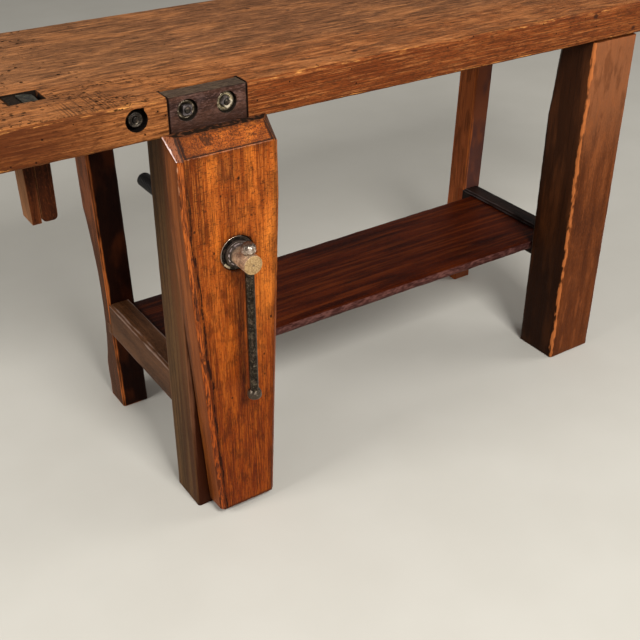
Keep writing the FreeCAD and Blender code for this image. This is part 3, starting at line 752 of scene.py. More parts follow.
# %% [markdown]
# Joiners saw against the stop, and the saw runs on into the bench. The marks are noise stretched
# across the grain. The last step darkens what light can't reach: holes, seams and the mortise.

# %% Saw marks beside the stop
def saw_marks(wood, stop_low, stop_high):
    kerf = wood.noise(110.0, 2.6, shift=5.0, detail=2.0, rough=0.6).between(0.50, 0.57)
    sawn = wood.up * wood.x.between(stop_high.x - 10.0, stop_high.x + 12.0)
    sawn = sawn * wood.x.between(stop_high.x + 120.0, stop_high.x + 70.0)
    reach = wood.y + wood.noise(30.0, 9.0, shift=7.0, detail=3.0) * 130.0
    sawn = sawn * reach.between(stop_low.y + 60.0, stop_low.y + 40.0)
    wood.lay(sawn * kerf * 0.6, (0.022, 0.008, 0.003), depth=-0.6)


# %% Dark seams, and the whole finish of the top
def dark_openings(wood, stop_low, stop_high):
    """Painted shade in the holes, in the seams beside the jaw block and on the walls of the stop's
    mortise.
    """
    block_low, block_high = in_mm("jaw_block")
    top_z = in_mm("top_slab")[1].z
    # painted shade in the bolt holes, the seams and the mortise
    wood.lay(in_bores(wood), (0.006, 0.004, 0.003), roughness=0.85)
    seam = (wood.x - block_low.x).size().lowest((wood.x - block_high.x).size())
    seam = seam.between(3.4, 1.8) * wood.y.between(block_high.y + 3.0, block_high.y + 1.0)
    wood.lay(seam, (0.012, 0.006, 0.004))
    across = wood.x.inside(stop_low.x - 3.5, stop_high.x + 8.0, 1.0)
    deep = wood.y.inside(stop_low.y - 2.0, stop_high.y + 2.0, 1.0)
    mortise = across * deep * wood.z.between(top_z - 0.4, top_z - 2.0)
    wood.lay(mortise, (0.010, 0.006, 0.004), roughness=0.85)


def pine_finish():
    stop_low, stop_high = in_mm("stop_wedge")[0], in_mm("planing_stop")[1]
    wood = pine_grain()
    weather_top(wood)
    rub_highlight_and_pit(wood)
    score_and_knot(wood)
    saw_marks(wood, stop_low, stop_high)
    wood.lay(wood.pores * 0.5, (0.03, 0.010, 0.004), depth=-0.2)
    dark_openings(wood, stop_low, stop_high)
    wood.height = wood.height + wood.fibre * 0.4
    return wood.done(specular_ior_level=0.05)


# %% [markdown]
# The jaw block is a piece of dense, nearly black hardwood, let into the front edge because it
# lasts longer than pine where the vise bites. It has a fine grain and a dull waxy haze, which is
# also a painted sheen.

# %% Finish of the jaw block
def block_finish():
    wood = Timber("jaw block", 0, (-440.0, -160.0, 700.0), spacing=3.0, shift=51.0)
    low = in_mm("jaw_block")[0]
    tone = wood.streak * 0.4 + wood.cloud * 0.6
    wood.start(wood.ramp(
        tone, (0.40, (0.026, 0.011, 0.008)), (0.50, (0.070, 0.029, 0.018)),
        (0.62, (0.135, 0.060, 0.038))), 0.42)
    # partly a waxy haze and partly a painted sheen: paler, glossier patches
    haze_and_sheen = wood.noise(11.0, 15.0, shift=61.0, detail=5.0, rough=0.65).between(0.48, 0.60)
    wood.lay(haze_and_sheen * 0.30, (0.105, 0.064, 0.056), roughness=0.36)
    wood.lay(wood.dark_lines * 0.6, (0.018, 0.007, 0.005), depth=-0.15)
    wood.lay(wood.grit.between(0.47, 0.40) * 0.6, (0.020, 0.008, 0.005), depth=-0.15)
    wood.lay(wood.grit.between(0.55, 0.61) * 0.4, (0.185, 0.105, 0.085))
    wood.lay(wood.z.between(low.z + 46.0, low.z + 6.0) * 0.8, (0.024, 0.009, 0.005))
    scratch = wood.noise(0.9, 18.0, shift=71.0, detail=3.0, rough=0.7).between(0.57, 0.63)
    scratch = scratch * wood.z.between(low.z + 28.0, low.z + 10.0)
    wood.lay(scratch * 0.35, (0.20, 0.12, 0.095), depth=-0.15)
    edge = wood.arris(hull_planes("jaw_block"))
    wood.lay((edge + wood.noise(8.0, shift=81.0) * 4.0).between(5.0, 1.8), (0.014, 0.007, 0.005))
    ends = wood.noise(2.4, 14.0, shift=77.0, detail=4.0, rough=0.7).between(0.42, 0.58)
    lid = wood.mix(ends, (0.026, 0.015, 0.008), (0.100, 0.066, 0.038))
    wood.lay(wood.toward(2, 1.0) * 0.8, lid, roughness=0.6)
    wood.lay(wood.pores * 0.6, (0.012, 0.006, 0.004), depth=-0.15)
    # painted shade in the bolt holes
    wood.lay(in_bores(wood), (0.012, 0.008, 0.005), roughness=0.8)
    return wood.done(specular_ior_level=0.1)


# %% [markdown]
# The chop has had many coats of varnish. Its front glows amber where it is handled and is dark
# where dirt has gone into the pores. Its flat top is nearly black, the slopes below it have dark
# edges, and a shake runs down beside the long left chamfer. Each of those faces needs its own
# treatment, so the chop's timber first learns where its faces are: by the way they look, as
# masks, and by their planes, so that distances from an arris can be measured.

# %% The chop's faces
class ChopTimber(Timber):
    """Timber that knows the chop's faces, both as masks and as planes to measure from."""

    def __init__(self):
        super().__init__("chop timber", 2, (-440.0, 60.0, 0.0), spacing=7.0, wander=30.0, shift=5.0)
        self.planes = hull_planes("chop")
        self.slopes = [p for p in self.planes if 0.6 < p[0].z < 0.8]
        self.ends = [p for p in self.planes if 0.4 < p[0].z < 0.6]
        self.sides = [p for p in self.planes if p[0].x < -0.9]
        self.chamfers = [
            p for p in self.planes if p[0].x < -0.5 and p[0].y < -0.5 and p[0].z < 0.3]
        self.face_x, face_y, face_z = [self.part(self.facing, axis) for axis in range(3)]
        self.top = face_z.between(0.86, 0.94)
        self.slope = face_z.between(0.60, 0.66) * face_y.between(-0.60, -0.66)
        self.end = face_z.between(0.40, 0.46) * self.face_x.size().between(0.58, 0.66)
        upright = face_z.between(0.3, 0.2)
        self.chamfer = self.face_x.between(-0.52, -0.60) * face_y.between(-0.52, -0.60) * upright
        self.side = self.face_x.size().between(0.86, 0.94)
        self.front = face_y.between(-0.90, -0.96)
        self.wobble = self.noise(10.0, 70.0, shift=97.0, detail=4.0)
        self.fine = self.noise(2.2, 60.0, shift=85.0, detail=3.0).between(0.46, 0.40)
        counts = len(self.slopes), len(self.ends), len(self.sides), len(self.chamfers)
        print("chop: slopes, ends, left sides and left chamfers:", counts)


# %% Varnish and grain of the chop
def chop_varnish():
    wood = ChopTimber()
    low, high = in_mm("chop")
    broad = wood.noise(24.0, 260.0, shift=15.0, detail=3.0)
    tone = broad * 0.6 + wood.cloud * 0.4 + wood.x * 0.0011 + 0.49
    wood.start(wood.ramp(
        tone, (0.40, (0.150, 0.026, 0.003)), (0.48, (0.30, 0.058, 0.006)),
        (0.56, (0.46, 0.102, 0.011)), (0.66, (0.64, 0.172, 0.020))), 0.40)
    wood.lay(wood.z.between(high.z - 200.0, low.z + 120.0) * 0.72, (0.155, 0.024, 0.002))
    worn_patch = Vector((low.x + 0.44 * (high.x - low.x), low.y, high.z - 58.0))
    ragged = wood.noise(11.0, 15.0, shift=99.0, detail=5.0, rough=0.7)
    patch = wood.away_from(worn_patch) + ragged * 50.0
    wood.lay(patch.between(52.0, 36.0) * 0.5, (0.085, 0.026, 0.007))
    wood.lay(wood.late * 0.25, (0.13, 0.026, 0.004), depth=0.05)
    wood.lay(wood.dark_lines * 0.40, (0.085, 0.015, 0.002), depth=-0.15)
    wood.lay(wood.light_lines * 0.30, (0.66, 0.205, 0.030))
    return wood


# %% Dirt in the chop's pores
def chop_pores(wood):
    high = in_mm("chop")[1]
    smudge = wood.noise(20.0, 30.0, shift=91.0, detail=6.0, rough=0.72).between(0.51, 0.60)
    wood.lay(smudge * 0.48, (0.055, 0.012, 0.002), roughness=0.5)
    wood.lay(wood.hair.between(0.48, 0.40) * 0.48, (0.060, 0.011, 0.002), depth=-0.15)
    wood.lay(wood.hair.between(0.53, 0.60) * 0.30, (0.66, 0.205, 0.032))
    wood.lay(wood.grit.between(0.46, 0.39) * 0.40, (0.050, 0.010, 0.002), depth=-0.1)
    checks = wood.noise(9.0, 1.6, shift=94.0, detail=3.0).between(0.585, 0.62)
    checks = checks * wood.z.between(high.z - 330.0, high.z - 200.0)
    wood.lay(checks * 0.6, (0.030, 0.008, 0.002), depth=-0.2)
    spots = wood.specks(17.0, 3.0, along=22.0, shift=9.0, share=0.3)
    wood.lay(spots * 0.9, (0.018, 0.006, 0.002), depth=-0.3, roughness=0.6)


# %% [markdown]
# The chop's sides get no polish from hands and stay brown. The chamfer is bare, ruby wood under
# clear varnish. The shake is a band at a wandering distance from it, whose width comes and goes.

# %% Brown sides and grimy arrises of the chop
def chop_sides(wood):
    brown = wood.mix(wood.streak.between(0.42, 0.58), (0.085, 0.028, 0.007), (0.22, 0.074, 0.020))
    wood.lay(wood.side * 0.85, brown, roughness=0.5)
    wood.lay(wood.side * wood.dark_lines * 0.6, (0.045, 0.014, 0.004))
    near_chamfer = wood.nearest(wood.chamfers).between(26.0, 6.0)
    wood.lay(wood.side * near_chamfer * 0.35, (0.36, 0.090, 0.018))
    edge = wood.arris(wood.planes)
    grime = (edge + wood.noise(12.0, 40.0, shift=95.0, detail=4.0) * 12.0).between(15.0, 8.0)
    wood.lay(grime * 0.45, (0.055, 0.012, 0.002))


# %% The long chamfer and the shake beside it
def chamfer_and_shake(wood):
    low, high = in_mm("chop")
    line = wood.noise(1.8, 34.0, shift=98.0, detail=5.0, rough=0.7).between(0.44, 0.56)
    ruby = wood.mix(line, (0.100, 0.018, 0.003), (0.50, 0.118, 0.016))
    wood.lay(wood.chamfer * 0.85, ruby, roughness=0.34)
    into = wood.nearest(wood.chamfers)
    width = wood.noise(6.0, 20.0, shift=96.0, detail=4.0, rough=0.65) * 9.0 - 3.4
    shake = ((into + wood.wobble * 16.0 - 10.6).size() - width).between(0.3, -0.5)
    shake = shake * (wood.front + wood.chamfer * 0.8)
    shake = shake * wood.z.between(high.z - 20.0, high.z - 120.0)
    wood.lay(shake * 0.9, (0.018, 0.005, 0.002), depth=-1.2, roughness=0.7)
    corner = wood.nearest(wood.sides).highest(into)
    glint = (corner + wood.noise(5.0, 18.0, shift=92.0, detail=4.0) * 5.0).between(3.6, 2.6)
    wood.lay(glint * 0.7, (0.62, 0.29, 0.150), roughness=0.3)
    right = wood.nearest([p for p in wood.planes if p[0].x > 0.5])
    right_dirt = (right + wood.wobble * 4.0).between(4.4, 2.8)
    wood.lay(wood.front * right_dirt * 0.7, (0.045, 0.012, 0.004))
    foot_dirt = (wood.z - low.z + wood.wobble * 12.0).between(14.0, 8.0)
    wood.lay(wood.front * foot_dirt * 0.6, (0.045, 0.012, 0.004))


# %% [markdown]
# End grain at the top drinks dirt, so the slope has short plane marks, a dark line along its lower
# edge and one blot. Each is a distance with noise added, cut off where it is wide enough.

# %% The slope under the chop's flat top
def chop_slope(wood):
    low, high = in_mm("chop")
    slope = wood.slope
    wood.lay(slope * 0.3, (0.230, 0.060, 0.012))
    wood.lay(slope * wood.fine * 0.85, (0.080, 0.019, 0.005), depth=-0.15)
    plane_marks = wood.noise(40.0, 1.8, shift=81.0, detail=3.0).between(0.47, 0.40)
    wood.lay(slope * plane_marks * 0.60, (0.080, 0.019, 0.005), depth=-0.15)
    front_plane = [p for p in wood.planes if p[0].y < -0.99]
    ragged = wood.noise(6.0, 6.0, shift=84.0, detail=4.0, rough=0.7)
    bleed = wood.nearest(front_plane) + ragged * 5.0
    wood.lay(slope * bleed.between(5.6, 4.4) * 0.9, (0.020, 0.008, 0.004))
    # painted highlight: a thin pale line on the front just below the slope
    thin = wood.nearest(wood.slopes) + wood.noise(5.0, 5.0, shift=83.0, detail=3.0) * 3.0
    wood.lay(wood.front * thin.between(3.2, 2.2) * 0.55, (0.44, 0.22, 0.13), roughness=0.3)
    end_dirt = (wood.nearest(wood.ends) + wood.wobble * 4.0).between(6.6, 4.6)
    wood.lay(slope * end_dirt * 0.9, (0.016, 0.007, 0.004))
    # darker in a ragged band along the top of the slope
    ragged = wood.noise(7.0, 7.0, shift=86.0, detail=5.0, rough=0.7)
    lid = high.z - wood.z + ragged * 10.0
    wood.lay(slope * lid.between(9.0, 5.0) * 0.85, (0.030, 0.010, 0.004))
    blot_place = (low.x + 0.33 * (high.x - low.x), high.y - 28.0, high.z - 9.0)
    blot = wood.away_from(blot_place) + wood.noise(3.4, 40.0, shift=87.0, detail=3.0) * 40.0
    wood.lay(slope * blot.between(33.0, 26.0) * 0.75, (0.026, 0.010, 0.004))


# %% The sloping ends and the flat top of the chop
def chop_ends(wood):
    end = wood.end
    wood.lay(end * 0.8, wood.mix(wood.fine, (0.24, 0.078, 0.030), (0.085, 0.027, 0.011)))
    slope_dirt = (wood.nearest(wood.slopes) + wood.wobble * 4.0).between(7.0, 5.0)
    wood.lay(end * slope_dirt * 0.9, (0.020, 0.010, 0.006))
    # painted highlight: a pale line along the outer edge of each end bevel, with more coat there
    wood.rim = end * (wood.nearest(wood.sides) + wood.wobble * 4.0).between(4.4, 3.4)
    wood.lay(wood.rim * 0.75, (0.60, 0.42, 0.36), roughness=0.3)
    wood.lay(end * wood.face_x.between(0.4, 0.5) * 0.8, (0.020, 0.010, 0.006))
    lid_tone = wood.noise(9.0, 9.0, shift=82.0, detail=4.0).between(0.50, 0.62)
    lid = wood.mix(lid_tone, (0.012, 0.006, 0.003), (0.090, 0.030, 0.012))
    wood.lay(wood.top, lid, roughness=0.8)


# %% Dirt round the collar, and the whole finish of the chop
def dirt_round_collar(wood):
    front_y = in_mm("chop")[0].y
    low, high = in_mm("screw_collar")
    around = wood.away_from((low + high) / 2, axis=1)
    radius = (high.z - low.z) / 2
    sunk = wood.y.between(front_y + 1.0, front_y + 1.8)
    recess = around.between(radius + 1.2, radius + 0.6) * sunk
    wood.lay(recess, (0.008, 0.005, 0.003), roughness=0.7)
    ragged = around + wood.noise(9.0, shift=89.0, detail=3.0) * 18.0
    wood.lay(ragged.between(radius + 23.0, radius + 9.0) * 0.5, (0.040, 0.010, 0.002))


def chop_finish():
    low, high = in_mm("chop")
    wood = chop_varnish()
    for step in (chop_pores, chop_sides, chamfer_and_shake, chop_slope, chop_ends, dirt_round_collar):
        step(wood)
    towards_foot = wood.z.between(high.z - 120.0, low.z + 100.0)
    wood.lay(towards_foot, (0.76, 0.60, 0.28), blend="MULTIPLY")
    wood.height = wood.height + wood.fibre * 0.25
    coat_weight = wood.rim * 0.5 + wood.chamfer * 0.15 + 0.03
    return wood.done(coat_weight=coat_weight, coat_roughness=0.16, specular_ior_level=0.07)


# %% [markdown]
# The legs, rails and shelf are stained dark. The same recipe serves for all of them, with a
# palette, a direction of grain and the places where hands and feet have rubbed.

# %% Finish of dark timber
def dark_finish(name, node, grain, pith, deep, middle, light, bare,
                rub=0.7, rub_width=4.0, shift=0.0, figure=1.0):
    """Dark timber with a palette of four colours. Its rubbed arrises are kept for end_dark."""
    wood = Timber(name, grain, pith, spacing=5.0, wander=22.0, shift=shift)
    tone = wood.noise(20.0, 280.0, shift=shift + 1.0, detail=3.0) * 0.55 + wood.cloud * 0.45
    wood.start(wood.ramp(tone, (0.40, deep), (0.50, middle), (0.62, light)), 0.48)
    wood.lay(wood.late * (0.25 * figure), deep, depth=0.08)
    wood.lay(wood.dark_lines * (0.45 * figure), deep, depth=-0.15)
    wood.lay(wood.light_lines * (0.30 * figure), light)
    wood.lay(wood.hair.between(0.47, 0.40) * 0.35, deep, depth=-0.1)
    wood.lay(wood.grit.between(0.46, 0.40) * 0.30, deep, depth=-0.1)
    wood.lay(wood.grit.between(0.55, 0.61) * 0.30, tuple(1.5 * c for c in light))
    wood.lay(wood.pores * 0.5, tuple(0.35 * c for c in deep), depth=-0.15)
    spots = wood.specks(34.0, 2.6, along=60.0, shift=shift + 4.0, share=0.4)
    wood.lay(spots * 0.8, (0.010, 0.005, 0.003), depth=-0.4)
    wood.bare = bare
    edge = wood.arris(hull_planes(node))
    worn = edge + wood.noise(9.0, 50.0, shift=shift + 8.0, detail=3.0) * 2.0 * rub_width
    wood.rubbed = worn.between(1.9 * rub_width, 1.1 * rub_width) * rub
    wood.height = wood.height + wood.fibre * 0.2
    return wood


def end_dark(wood, gloss=0.05):
    """The rubbed arrises come last, over whatever a face was given."""
    wood.lay(wood.rubbed, wood.bare, roughness=0.34)
    return wood.done(specular_ior_level=gloss)


# %% Finishes of the front legs
def front_left_leg_finish():
    wood = dark_finish(
        "front left leg", "front_left_leg", 2, (-430.0, -100.0, 0.0), (0.026, 0.008, 0.003),
        (0.075, 0.024, 0.010), (0.130, 0.045, 0.020), (0.20, 0.080, 0.038), rub=0.45, shift=101.0)
    left = wood.toward(0, -1.0)
    olive = wood.mix(wood.streak.between(0.40, 0.60), (0.052, 0.026, 0.009), (0.122, 0.060, 0.021))
    wood.lay(left * 0.85, olive, roughness=0.6)
    wood.lay(left * wood.dark_lines * 0.4, (0.034, 0.021, 0.010))
    wood.lay(left * wood.grit.between(0.47, 0.40) * 0.4, (0.034, 0.021, 0.010))
    low, high = in_mm("front_left_leg")
    red = left * (wood.y + wood.streak * 90.0).between(low.y + 100.0, low.y + 55.0)
    height = wood.z.between(high.z * 0.25, high.z * 0.6)
    wood.lay(red * 0.7, wood.mix(height, (0.062, 0.020, 0.007), (0.150, 0.050, 0.016)))
    wood.lay(left * wood.hair.between(0.47, 0.40) * 0.4, (0.030, 0.015, 0.006))
    # painted shade: the front face is laid nearly black, where the chop shades it
    wood.lay(wood.toward(1, -1.0) * 0.92, (0.026, 0.005, 0.001))
    wood.rubbed = wood.rubbed * wood.z.between(60.0, 240.0)
    return end_dark(wood)


def front_right_leg_finish():
    wood = dark_finish(
        "front right leg", "front_right_leg", 2, (460.0, -60.0, 0.0), (0.060, 0.015, 0.004),
        (0.112, 0.028, 0.006), (0.180, 0.050, 0.013), (0.50, 0.150, 0.040), rub=0.4,
        rub_width=2.4, shift=131.0)
    front = wood.toward(1, -1.0)
    wood.lay(front * wood.z.between(430.0, 660.0) * 0.5, (0.34, 0.125, 0.050))
    wood.lay(front * wood.z.between(360.0, 120.0) * 0.35, (0.100, 0.022, 0.004))
    mottle = wood.noise(24.0, 80.0, shift=137.0, detail=5.0, rough=0.6)
    wood.lay(front * mottle.between(0.50, 0.62) * 0.4, (0.050, 0.012, 0.003))
    wood.lay(front * mottle.between(0.46, 0.36) * 0.3, (0.290, 0.080, 0.020))
    left = wood.toward(0, -1.0)
    glint = wood.noise(26.0, 130.0, shift=139.0, detail=4.0).between(0.44, 0.66)
    tone = wood.z.between(200.0, 520.0)
    dark = wood.mix(tone, (0.012, 0.004, 0.0015), (0.034, 0.012, 0.005))
    lit = wood.mix(tone, (0.036, 0.011, 0.003), (0.080, 0.026, 0.009))
    wood.lay(left * 0.92, wood.mix(glint, dark, lit), roughness=0.45)
    wood.lay(left * wood.dark_lines * 0.35, (0.008, 0.003, 0.001))
    hollow = wood.part(wood.facing, 1).between(0.3, 0.6) * wood.toward(0, -1.0, 0.15, 0.3)
    wood.lay(hollow * 0.8, (0.120, 0.100, 0.080))
    planes = hull_planes("front_right_leg")
    corner = wood.nearest([p for p in planes if p[0].x < -0.7]).highest(
        wood.nearest([p for p in planes if p[0].y < -0.7]))
    line = (corner + wood.noise(7.0, 24.0, shift=138.0, detail=4.0) * 10.0).between(8.2, 6.4)
    wood.rubbed = wood.rubbed.highest(line * 0.8)
    return end_dark(wood)


# %% [markdown]
# The back legs lean and keep some of the tree's natural edge, so their arrises wander and shine
# red. Both share a recipe. Only the colours of the left and front faces differ: the left face gets
# painted light, and the front gets painted shade, as the slab shades it.

# %% Finishes of the back legs
def rear_leg_finish(name, node, pith, painted_light_tones, painted_shade_tones, shift):
    wood = dark_finish(
        name, node, 2, pith, (0.020, 0.005, 0.002), (0.060, 0.015, 0.005), (0.120, 0.034, 0.012),
        (0.44, 0.115, 0.024), rub=0.85, rub_width=3.0, shift=shift)
    left = wood.toward(0, -1.0, 0.5, 0.7)
    # painted light on the left face, paler towards the top
    height = (wood.z + wood.cloud * 160.0).between(440.0, 560.0)
    lit = wood.mix(height, painted_light_tones[0], painted_light_tones[1])
    wood.lay(left * 0.85, lit)
    blotch = wood.noise(16.0, 70.0, shift=shift + 6.0, detail=4.0).between(0.46, 0.58)
    wood.lay(left * blotch * 0.7, tuple(0.30 * c for c in painted_light_tones[1]))
    wood.lay(left * wood.dark_lines * 0.5, tuple(0.35 * c for c in painted_light_tones[1]))
    wood.lay(left * wood.light_lines * 0.3, tuple(1.5 * c for c in painted_light_tones[1]))
    # painted shade on the front face, where the slab shades it
    painted_shade_front = wood.mix(wood.cloud.between(0.42, 0.60), painted_shade_tones[0], painted_shade_tones[1])
    wood.lay(wood.toward(1, -1.0) * 0.9, painted_shade_front)
    right = [p for p in hull_planes(node) if p[0].x > 0.7]
    wood.rubbed = wood.rubbed * wood.nearest(right).between(6.0, 14.0) * wood.z.between(700.0, 480.0)
    return end_dark(wood)


def rear_left_leg_finish():
    return rear_leg_finish(
        "rear left leg", "rear_left_leg", (-500.0, 230.0, 0.0),
        painted_light_tones=((0.050, 0.018, 0.006), (0.180, 0.052, 0.017)),
        painted_shade_tones=((0.008, 0.002, 0.001), (0.050, 0.011, 0.003)), shift=151.0)


def rear_right_leg_finish():
    return rear_leg_finish(
        "rear right leg", "rear_right_leg", (470.0, 250.0, 0.0),
        painted_light_tones=((0.280, 0.068, 0.018), (0.420, 0.110, 0.028)),
        painted_shade_tones=((0.090, 0.034, 0.026), (0.200, 0.055, 0.022)), shift=161.0)


# %% [markdown]
# Feet rub the rails pale along the top. The shelf is a reddish board with a rough front edge, and
# that roughness is laid on with depth where its faces turn away from straight up.

# %% Finishes of the rails, shelf and stop
def left_rail_finish():
    wood = dark_finish(
        "left rail", "left_rail", 1, (-500.0, 0.0, 150.0), (0.034, 0.013, 0.005),
        (0.078, 0.031, 0.012), (0.130, 0.055, 0.023), (0.26, 0.17, 0.13), rub=0.7,
        rub_width=3.0, shift=171.0)
    return end_dark(wood)


def right_rail_finish():
    wood = dark_finish(
        "right rail", "right_rail", 1, (470.0, 0.0, 150.0), (0.006, 0.003, 0.002),
        (0.014, 0.007, 0.005), (0.030, 0.015, 0.011), (0.085, 0.065, 0.062), rub=0.7,
        rub_width=3.0, shift=181.0)
    leg_front = [p for p in hull_planes("rear_right_leg") if p[0].y < -0.7]
    lapped = wood.toward(0, -1.0) * wood.nearest(leg_front).between(-0.5, 0.5)
    wood.rubbed = wood.rubbed * (1 - lapped)
    wood.lay(lapped * 0.9, (0.200, 0.045, 0.012))
    return end_dark(wood)


def shelf_finish():
    wood = dark_finish(
        "shelf mahogany", "shelf", 0, (0.0, 90.0, 60.0), (0.016, 0.002, 0.0005),
        (0.038, 0.005, 0.0008), (0.066, 0.010, 0.0015), (0.10, 0.036, 0.026), rub=0.2, shift=191.0,
        figure=0.4)
    orange = wood.noise(8.0, 200.0, shift=196.0, detail=5.0, rough=0.6).between(0.50, 0.64)
    wood.lay(orange * wood.toward(2, 1.0) * 0.36, (0.150, 0.030, 0.004))
    bark = wood.mix(
        wood.noise(7.0, 16.0, shift=6.0, detail=4.0, rough=0.7).between(0.4, 0.65),
        (0.045, 0.016, 0.014), (0.17, 0.070, 0.058))
    wood.lay(wood.toward(2, 1.0, 0.75, 0.55) * 0.75, bark, depth=0.5, roughness=0.6)
    return end_dark(wood, gloss=0.04)


def stop_finish(name, node, shift):
    wood = dark_finish(
        name, node, 2, (-690.0, 40.0, 0.0), (0.022, 0.005, 0.0015),
        (0.052, 0.012, 0.003), (0.100, 0.026, 0.007), (0.16, 0.055, 0.020), rub=0.4,
        rub_width=2.0, shift=shift)
    left = wood.toward(0, -1.0)
    wood.lay(left * 0.75, (0.34, 0.155, 0.066), roughness=0.7)
    lines = (wood.dark_lines * 0.5).highest(wood.hair.between(0.47, 0.40) * 0.6)
    wood.lay(left * lines, (0.110, 0.042, 0.016))
    wood.lay(left * wood.cloud.between(0.50, 0.62) * 0.4, (0.120, 0.048, 0.018))
    wood.lay(wood.rubbed, wood.bare)
    sooty = wood.mix(wood.grit.between(0.42, 0.58), (0.006, 0.004, 0.003), (0.024, 0.015, 0.009))
    wood.lay(wood.toward(2, 1.0), sooty, roughness=0.8)
    return wood.done(specular_ior_level=0.05)


def guide_finish():
    wood = dark_finish(
        "guide timber", "parallel_guide", 1, (-430.0, 0.0, 60.0), (0.060, 0.020, 0.007),
        (0.135, 0.050, 0.018), (0.220, 0.092, 0.036), (0.30, 0.130, 0.055), rub=0.5, shift=221.0)
    return end_dark(wood)


# %% [markdown]
# Now each node of timber is dressed. The wear is deepest on the shelf and the right front leg,
# and slight on the pieces that slide, because those have to keep their fit.

# %% Dress the timber
worn("top_slab", pine_finish(), arris=1.0, pitch=11.0, Unevenness=0.8 * MM, Depth=1.4 * MM)
worn("jaw_block", block_finish(), arris=0.8, pitch=8.0, Depth=0.4 * MM, Seed=2.0)
worn("chop", chop_finish(), arris=0.9, pitch=10.0, Depth=0.6 * MM, Seed=3.0)
worn("front_left_leg", front_left_leg_finish(), pitch=14.0, Seed=4.0)
worn("front_right_leg", front_right_leg_finish(), pitch=12.0, Depth=2.4 * MM, Seed=5.0)
worn("rear_left_leg", rear_left_leg_finish(), pitch=12.0, Seed=6.0)
worn("rear_right_leg", rear_right_leg_finish(), pitch=12.0, Seed=7.0)
worn("left_rail", left_rail_finish(), pitch=10.0, Seed=8.0)
worn("right_rail", right_rail_finish(), pitch=10.0, Seed=9.0)
worn("shelf", shelf_finish(), arris=1.5, pitch=10.0, along=0,
     Depth=3.0 * MM, Reach=18 * MM, Seed=10.0)
worn("planing_stop", stop_finish("stop timber", "planing_stop", 211.0), arris=0.8, pitch=10.0,
     Depth=0.5 * MM, Seed=11.0)
worn("stop_wedge", stop_finish("wedge timber", "stop_wedge", 217.0), arris=0.8, pitch=10.0,
     Depth=0.5 * MM, Seed=12.0)
guide_wood = guide_finish()
worn("parallel_guide", guide_wood, arris=0.8, pitch=12.0, Depth=0.4 * MM, Seed=13.0)
coat(frame["nodes"]["guide_peg"], guide_wood)

# %% [markdown]
# Iron. Old vise irons are brown with a thin skin of rust and oil, bright only where they rub. One
# recipe with a palette serves for all of them, because they were forged and handled alike.
# The screw's face is a paler, mottled end; its bar is nearly black, and its upper knob has been
# polished by hands.

# %% Metal finishes
def iron_finish(name, deep, middle, bright, shine=0.42, grain_size=2.4, metal=0.85,
                rust_share=0.35, shift=0.0):
    iron = Finish(name)
    patch = iron.noise(9.0, shift=shift, detail=4.0, rough=0.65)
    speck = iron.noise(grain_size, shift=shift + 5.0, detail=3.0, rough=0.7)
    iron.start(iron.ramp(
        patch * 0.6 + speck * 0.4, (0.40, deep), (0.52, middle), (0.64, bright)), shine)
    pits = iron.noise(1.3, shift=shift + 9.0, detail=2.0).between(0.60, 0.70)
    iron.lay(pits * 0.7, tuple(0.4 * c for c in deep), depth=-0.12, roughness=0.8)
    rust = iron.noise(6.0, shift=shift + 13.0, detail=4.0).between(0.56, 0.68)
    iron.lay(rust * rust_share, (0.09, 0.035, 0.014), roughness=0.75)
    iron.height = iron.height + patch * 0.25
    iron.set(metallic=metal - rust * 0.6 * metal)
    return iron


dark_iron = iron_finish(
    "dark iron", (0.014, 0.011, 0.009), (0.045, 0.036, 0.028), (0.15, 0.12, 0.085),
    shift=23.0).done()


def nut_finish():
    iron = iron_finish(
        "nut steel", (0.030, 0.024, 0.024), (0.080, 0.064, 0.062), (0.20, 0.165, 0.155), 0.46,
        metal=0.4, shift=43.0)
    low, high = in_mm("square_nuts")
    middle = (low + high) / 2
    patchy = iron.noise(3.4, shift=47.0, detail=3.0).between(0.40, 0.56)
    half = (high.x - low.x) / 2 - (high.z - low.z) / 2
    slant = iron.x - (middle.x + half) - (iron.z - middle.z)
    lit = slant.between(-4.0, 2.0) * iron.x.between(middle.x, middle.x + 10.0)
    iron.lay(lit * (0.45 + patchy * 0.4), (0.74, 0.62, 0.44))
    return iron.done()


# %% [markdown]
# Where a thing is touched it shines: the knob and the high flecks of the bar. The collar's rim
# gets a painted highlight on its upper left and a painted cream fleck on its lower left, and the
# knob's top is painted dark as shade. These are the same iron with one or two more layers each.

# %% Finishes of the bar, its knobs and the collar
def bar_finish():
    low, high = in_mm("tommy_bar")
    iron = iron_finish(
        "forged bar", (0.008, 0.005, 0.003), (0.026, 0.018, 0.011), (0.13, 0.098, 0.062), 0.28,
        shift=3.0)
    knob_height = high.x - low.x - 6.0
    flecks = iron.noise(2.2, shift=7.0, detail=3.0, rough=0.7).between(0.60, 0.66)
    iron.lay(flecks * 0.6, (0.42, 0.35, 0.26), roughness=0.3)
    handled = iron.z.between(low.z + knob_height, low.z + knob_height - 5.0)
    iron.lay(handled * 0.5, (0.12, 0.09, 0.065))
    return iron.done()


def knob_finish():
    iron = iron_finish(
        "handled knob", (0.070, 0.050, 0.036), (0.34, 0.25, 0.185), (0.92, 0.78, 0.64), 0.26,
        grain_size=3.4, metal=0.6, rust_share=0.2, shift=13.0)
    high = in_mm("bar_end_knob")[1]
    # painted shade: the top of the knob is laid dark, so that it looks flatter
    iron.lay(iron.z.between(high.z - 7.0, high.z - 3.0) * 0.85, (0.045, 0.034, 0.024))
    iron.height = iron.height + iron.noise(6.0, shift=17.0, detail=1.0) * 2.4
    return iron.done()


